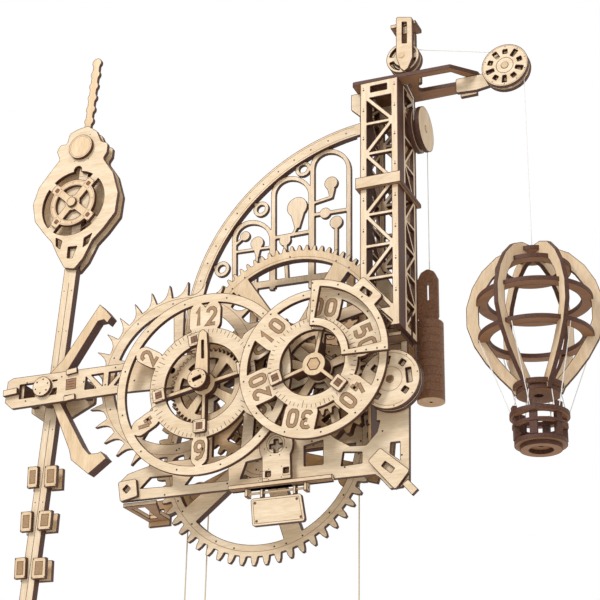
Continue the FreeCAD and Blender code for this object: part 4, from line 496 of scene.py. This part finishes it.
# frame arm and beam
ARM = [(-236, -42), (-236, -27), (-205, -26), (-196, -43), (-185, -33), (-166, -38), (-158, -25), (-141, -38), (-124, -24), (-108, -40)]
for p in ARM:
    dot("frame", p, 13.95)
for p in [(-139, -117), (-122, -104), (-100, -97), (-80, -103), (-60, -96), (-30, -92), (5, -104), (22, -98), (48, -97), (72, -88), (72, -122), (58, -103), (30, -126), (-10, -127), (-60, -128), (-110, -131)]:
    dot("frame", p, 13.95)
ENG = (-196.3, -33.2)
for q_, wx_, wz_ in (((-195.6, -22.9), 8.0, 3.0), ((-197.0, -43.6), 8.0, 3.0)):
    patch("frame", rectp(q_, wx_, wz_, 0), 13.96, tenon_m)
    path("frame", rectp(q_, wx_ + 0.4, wz_ + 0.4, 0), 13.94, 0.35, line_m, True)
patch("frame", rectp(ENG, 8.6, 8.6, 2), 13.96, fine_m)
path("frame", rectp(ENG, 8.6, 8.6, 2), 13.94, 0.5, line_m, True)
for s_ in (-2.2, 0.0, 2.2):
    line("frame", (ENG[0] - 3.0, ENG[1] + s_), (ENG[0] + 3.0, ENG[1] + s_), 13.93, 0.5)
for k in range(6):
    dot("frame", polar(PIV, 5.6, 60 * k + 20), 10.95)
    dot("frame", polar(HOUR, 5.7, 60 * k + 20), -8.05, 0.5)

PLUS = (-20.2, -104.7)
for rr in (5.2, 7.0):
    circle("frame", PLUS, rr, 7.95, 0.35, line_m)
for k in range(8):
    dot("frame", polar(PLUS, 9.2, 45 * k + 20), 7.94, 0.5)
for q_ in ((-29.0, -126.9), (-11.4, -126.0)):
    path("frame", rectp(q_, 5.6, 5.6, 0), 7.95, 0.3, line_m, True)
    for sx in (-1, 1):
        for sz in (-1, 1):
            dot("frame", (q_[0] + 3.9 * sx, q_[1] + 3.9 * sz), 7.94, 0.42)
# tower: pins and engraved lines
for z in (159, 141, 117, 92, 66, 41, 16, -9):
    for x in (53.0, 77.4):
        if z > -6 or x > 60:
            dot("frame", (x, z), -10.05)
            dot("frame", (x, z + 1.9), -10.05, 0.4)
for x in (50.9, 79.5):
    line("frame", (x, 0 if x < 60 else -33), (x, 164), -10.04, 0.25, fine_m)

# knob
circle("knob", KNOB, 19.4, 1.45, 0.35, fine_m, 20, 120)
circle("knob", KNOB, 19.4, 1.45, 0.35, fine_m, 200, 300)
circle("knob", KNOB, 9.0, 1.45, 0.35, fine_m)
for k in range(8):
    dot("knob", polar(KNOB, 20.4, 45 * k + 8), 1.44, 0.5)
dot("knob", KNOB, 0.98, 2.4, tenon_m, 24)

# pulleys
circle("outer_sheave", OUTP, 6.4, -1.06, 0.4, line_m)
circle("outer_sheave", OUTP, 16.4, -1.05, 0.25, fine_m)
for k in range(10):
    dot("outer_sheave", polar(OUTP, 15.6, 36 * k + 15), -1.07, 0.42)

# -------------------------------------------------------------- drive cords
def curve(name, pts, r, mat, body):
    cu = bpy.data.curves.new(name, "CURVE")
    cu.dimensions = "3D"
    sp = cu.splines.new("NURBS")
    sp.points.add(len(pts) - 1)
    for p, q in zip(sp.points, pts):
        p.co = (*W(*q), 1)
    sp.order_u = 3
    sp.use_endpoint_u = True
    cu.bevel_depth = r / 1000
    cu.bevel_resolution = 4
    cu.resolution_u = 8
    ob = bpy.data.objects.new(name, cu)
    scene.collection.objects.link(ob)
    cu.materials.append(mat)
    return ob

def tube(name, pts, r, mat, n=10):
    """A round tube mesh through pts."""
    vs, fs = [], []
    P = [W(*p) for p in pts]
    for i, p in enumerate(P):
        d = (P[min(i + 1, len(P) - 1)] - P[max(i - 1, 0)]).normalized()
        a = d.cross(Vector((0, 1, 0)) if abs(d.y) < 0.9 else Vector((1, 0, 0))).normalized()
        b = d.cross(a)
        vs += [p + (a * math.cos(2 * math.pi * k / n) + b * math.sin(2 * math.pi * k / n)) * r / 1000 for k in range(n)]
    for i in range(len(P) - 1):
        fs += [(i * n + k, i * n + (k + 1) % n, (i + 1) * n + (k + 1) % n, (i + 1) * n + k) for k in range(n)]
    fs += [tuple(range(n))[::-1], tuple(range((len(P) - 1) * n, len(P) * n))]
    me = bpy.data.meshes.new(name)
    me.from_pydata([tuple(v) for v in vs], [], fs)
    for q in me.polygons:
        q.use_smooth = True
    ob = bpy.data.objects.new(name, me)
    scene.collection.objects.link(ob)
    me.materials.append(mat)
    return ob


# the hanging thread of the balloon, in a mesh of its own; on the real model it shortens from its lower end as the
# balloon rises
lift = tube("lift_line", [(172.5, 3.5, 7.0 + 154.8 * k / 8) for k in range(9)], 0.3, thread_m)
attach(lift, "frame")
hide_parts("lift_thread")
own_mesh(lift)

# the counterweight's own short end of the thread, which keeps it joined to the run over the pulleys as it drops
hook = tube("weight_line", [(85.5, 40.5, 19.0 + 3.0 * k) for k in range(6)], 0.42, thread_m)
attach(hook, "counterweight")

CR = 0.5
YC = 53.0


def arc3(c, r, a0, a1, n):
    return [(c[0] + r * math.cos(math.radians(a0 + (a1 - a0) * k / n)), YC, c[1] + r * math.sin(math.radians(a0 + (a1 - a0) * k / n))) for k in range(n + 1)]


wrap = tube("cord_over_guide", arc3((-101.75, -119), 8.25, 180, 0, 24), CR, cord_m)
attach(wrap, "frame")
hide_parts("drive_cords")
run2 = tube("cord_to_drum", arc3((17.5, -121), 8.25, 0, 110, 16) + arc3(GREAT, 14.9, 290, 240, 8), CR, cord_m)
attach(run2, "frame")
for k, (x, ztop) in enumerate(((-110.0, -119.0), (-93.5, -119.0), (25.75, -121.0))):
    s_ = curve("cord_strand_%d" % k, [(x, YC, ztop + (-212.0 - ztop) * t / 6) for t in range(7)], CR, cord_m, "frame")
    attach(s_, "frame")
    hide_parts("drive_cords")
    bpy.ops.mesh.primitive_uv_sphere_add(segments=20, ring_count=14, radius=1.0, location=(0, 0, 0))
    kn = bpy.context.object
    kn.name = "cord_knot_%d" % k
    for v in kn.data.vertices:
        q = v.co
        f = 1.5 + 0.22 * math.sin(6 * q.z + 3 * math.atan2(q.y, q.x))
        v.co = Vector((q.x * f, q.y * f, q.z * 1.6)) / 1000 + W(x, YC, -213.4)
    for q in kn.data.polygons:
        q.use_smooth = True
    kn.data.materials.append(cord_m)
    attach(kn, "frame")

# pendulum marks
CLAMPS = [[(-236.3, -91.7), (-227.3, -91.9), (-226.6, -108.7), (-235.5, -108.6)], [(-238.9, -127.2), (-229.2, -127.4), (-228.6, -143.1), (-238.2, -142.9)], [(-240.6, -162.8), (-231.0, -162.9), (-230.2, -179.0), (-239.8, -178.9)],
                       [(-221.1, -92.6), (-210.4, -93.0), (-209.8, -109.8), (-220.4, -109.4)], [(-223.0, -128.0), (-211.6, -128.4), (-212.0, -143.1), (-223.3, -142.8)], [(-224.8, -164.2), (-213.5, -164.5), (-212.9, -180.5), (-224.9, -180.2)]]


def on_rod(z, off=0.0):
    a = math.radians(3.3)
    return (PIV[0] + (z - PIV[1]) * math.tan(a) + off * math.cos(a), z - off * math.sin(a))


line("pendulum", on_rod(62), on_rod(-13), 29.15, 0.45)
line("pendulum", on_rod(-54), on_rod(-216), 29.15, 0.45)
for z in (55, 20, -10, -62, -120, -175, -205):
    for o in (-3.4, 3.4):
        dot("pendulum", on_rod(z, o), 29.14, 0.5)
WC = (-214.3, 131.5)
DC = (-211.0, 183.3)
for a in (48, 138, 228, 318):
    patch("pendulum", rectp(polar(WC, 20.5, a), 3.0, 3.0, a), 22.97, tenon_m)
    for d in (-3.1, 3.1):
        dot("pendulum", polar(polar(WC, 24.0, a), d, a + 90), 22.95, 0.45)
        dot("pendulum", polar(polar(WC, 18.0, a), d, a + 90), 22.95, 0.45)
for k in range(4):
    dot("pendulum", polar(WC, 18.3, 3 + 90 * k), 22.95, 0.5)
    dot("pendulum", polar(WC, 5.6, 3 + 90 * k), 22.95, 0.4)
circle("pendulum", WC, 19.6, 22.96, 0.3, fine_m)
circle("pendulum", WC, 16.6, 22.96, 0.3, fine_m)
circle("pendulum", WC, 25.0, 25.96, 0.35, fine_m)
circle("pendulum", WC, 4.6, 22.96, 0.4, line_m)
circle("pendulum", DC, 9.4, 22.96, 0.3, fine_m)
for k in range(12):
    dot("pendulum", polar(WC, 27.0, 30 * k + 10), 25.94, 0.42)
for a in (60, 120, 240, 300):
    dot("pendulum", polar(DC, 13.2, a), 25.94, 0.5)
for c_ in CLAMPS:
    cx_, cz_ = sum(p[0] for p in c_) / 4, sum(p[1] for p in c_) / 4
    inner = [(cx_ + (p[0] - cx_) * 0.55, cz_ + (p[1] - cz_) * 0.62) for p in c_]
    patch("pendulum", inner, 25.96, fill_m)
    path("pendulum", inner, 25.94, 0.4, line_m, True)
    for f_ in (0.86,):
        for p in c_:
            dot("pendulum", (cx_ + (p[0] - cx_) * f_, cz_ + (p[1] - cz_) * f_), 25.93, 0.42)
# ----------------------------------------------------------------- sign
BORDER = [(-36.6, -145.2), (-1.8, -145.2), (1.4, -161.8), (-34.9, -161.8)]
path("sign", BORDER, 7.95, 0.3, line_m, True)
for p in ((-35.0, -146.9), (-3.2, -146.9), (-33.4, -160.2), (0.2, -160.2)):
    dot("sign", p, 7.93, 1.1, tenon_m, 14)
    dot("sign", p, 7.90, 0.45)

# --------------------------------------------------------------------- build
SH.build()

# -------------------------------------------------------------------- stage
def stage_mat():
    m, nt, b = new_mat("stage_floor")
    N, L = nt.nodes, nt.links
    tc = N.new("ShaderNodeTexCoord")
    n = N.new("ShaderNodeTexNoise")
    n.inputs["Scale"].default_value = 3
    L.new(tc.outputs["Object"], n.inputs["Vector"])
    r = N.new("ShaderNodeValToRGB")
    r.color_ramp.elements[0].color = (0.86, 0.86, 0.855, 1)
    r.color_ramp.elements[1].color = (0.90, 0.90, 0.895, 1)
    L.new(n.outputs["Fac"], r.inputs[0])
    L.new(r.outputs[0], b.inputs["Base Color"])
    b.inputs["Roughness"].default_value = 0.9
    return m


bpy.ops.mesh.primitive_plane_add(size=16, location=(0, 0, -1.45))
floor = bpy.context.object
floor.name = "floor"
floor.data.materials.append(stage_mat())

world = scene.world or bpy.data.worlds.new("World")
scene.world = world
world.use_nodes = True
wn = world.node_tree.nodes
bg = next((n for n in wn if n.type == "BACKGROUND"), None) or wn.new("ShaderNodeBackground")
wl = world.node_tree.links
wt = wn.new("ShaderNodeTexCoord")
ws = wn.new("ShaderNodeSeparateXYZ")
wl.new(wt.outputs["Generated"], ws.inputs[0])


def span(src, lo, hi, a, b):
    m = wn.new("ShaderNodeMapRange")
    m.inputs["From Min"].default_value = lo
    m.inputs["From Max"].default_value = hi
    m.inputs["To Min"].default_value = a
    m.inputs["To Max"].default_value = b
    wl.new(src, m.inputs["Value"])
    return m.outputs[0]


# a white studio wall behind the object, and a dimmer room in front of it and under it
wy = span(ws.outputs["Y"], -0.1, 0.25, 0.66, 1.0)
wz = span(ws.outputs["Z"], -0.35, 0.05, 0.55, 1.0)
wm = wn.new("ShaderNodeMath")
wm.operation = "MULTIPLY"
wl.new(wy, wm.inputs[0])
wl.new(wz, wm.inputs[1])
bg.inputs[0].default_value = (1, 1, 1, 1)
wl.new(wm.outputs[0], bg.inputs[1])


def area(name, loc, target, size, power):
    l = bpy.data.lights.new(name, "AREA")
    l.shape = "DISK"
    l.size = size
    l.energy = power
    o = bpy.data.objects.new(name, l)
    scene.collection.objects.link(o)
    o.location = loc
    o.rotation_euler = (Vector(target) - Vector(loc)).to_track_quat("-Z", "Y").to_euler()
    return o


area("key", (-0.7, -1.6, 1.3), (0, 0, 0), 0.7, 29)
area("fill", (1.3, -1.6, 0.1), (0, 0, 0), 1.2, 5)

# ------------------------------------------------------------------- camera
C = Vector((428.209, -987.631, -483.975))
R_ = Vector((0.92027087, 0.39093534, 0.016465))
U_ = Vector((0.14652859, -0.3833386, 0.91191057))
W_ = Vector((-0.36280974, 0.83679214, 0.41005855))
cam = bpy.data.cameras.new("camera")
cam.sensor_width = 36
cam.lens = 97.73
cam.clip_start = 0.05
cam.clip_end = 30
co = bpy.data.objects.new("camera", cam)
scene.collection.objects.link(co)
loc = W(*C)
M = Matrix(((R_.x, U_.x, -W_.x, loc.x), (R_.y, U_.y, -W_.y, loc.y), (R_.z, U_.z, -W_.z, loc.z), (0, 0, 0, 1)))
co.matrix_world = M
scene.camera = co
scene.view_settings.view_transform = "Standard"
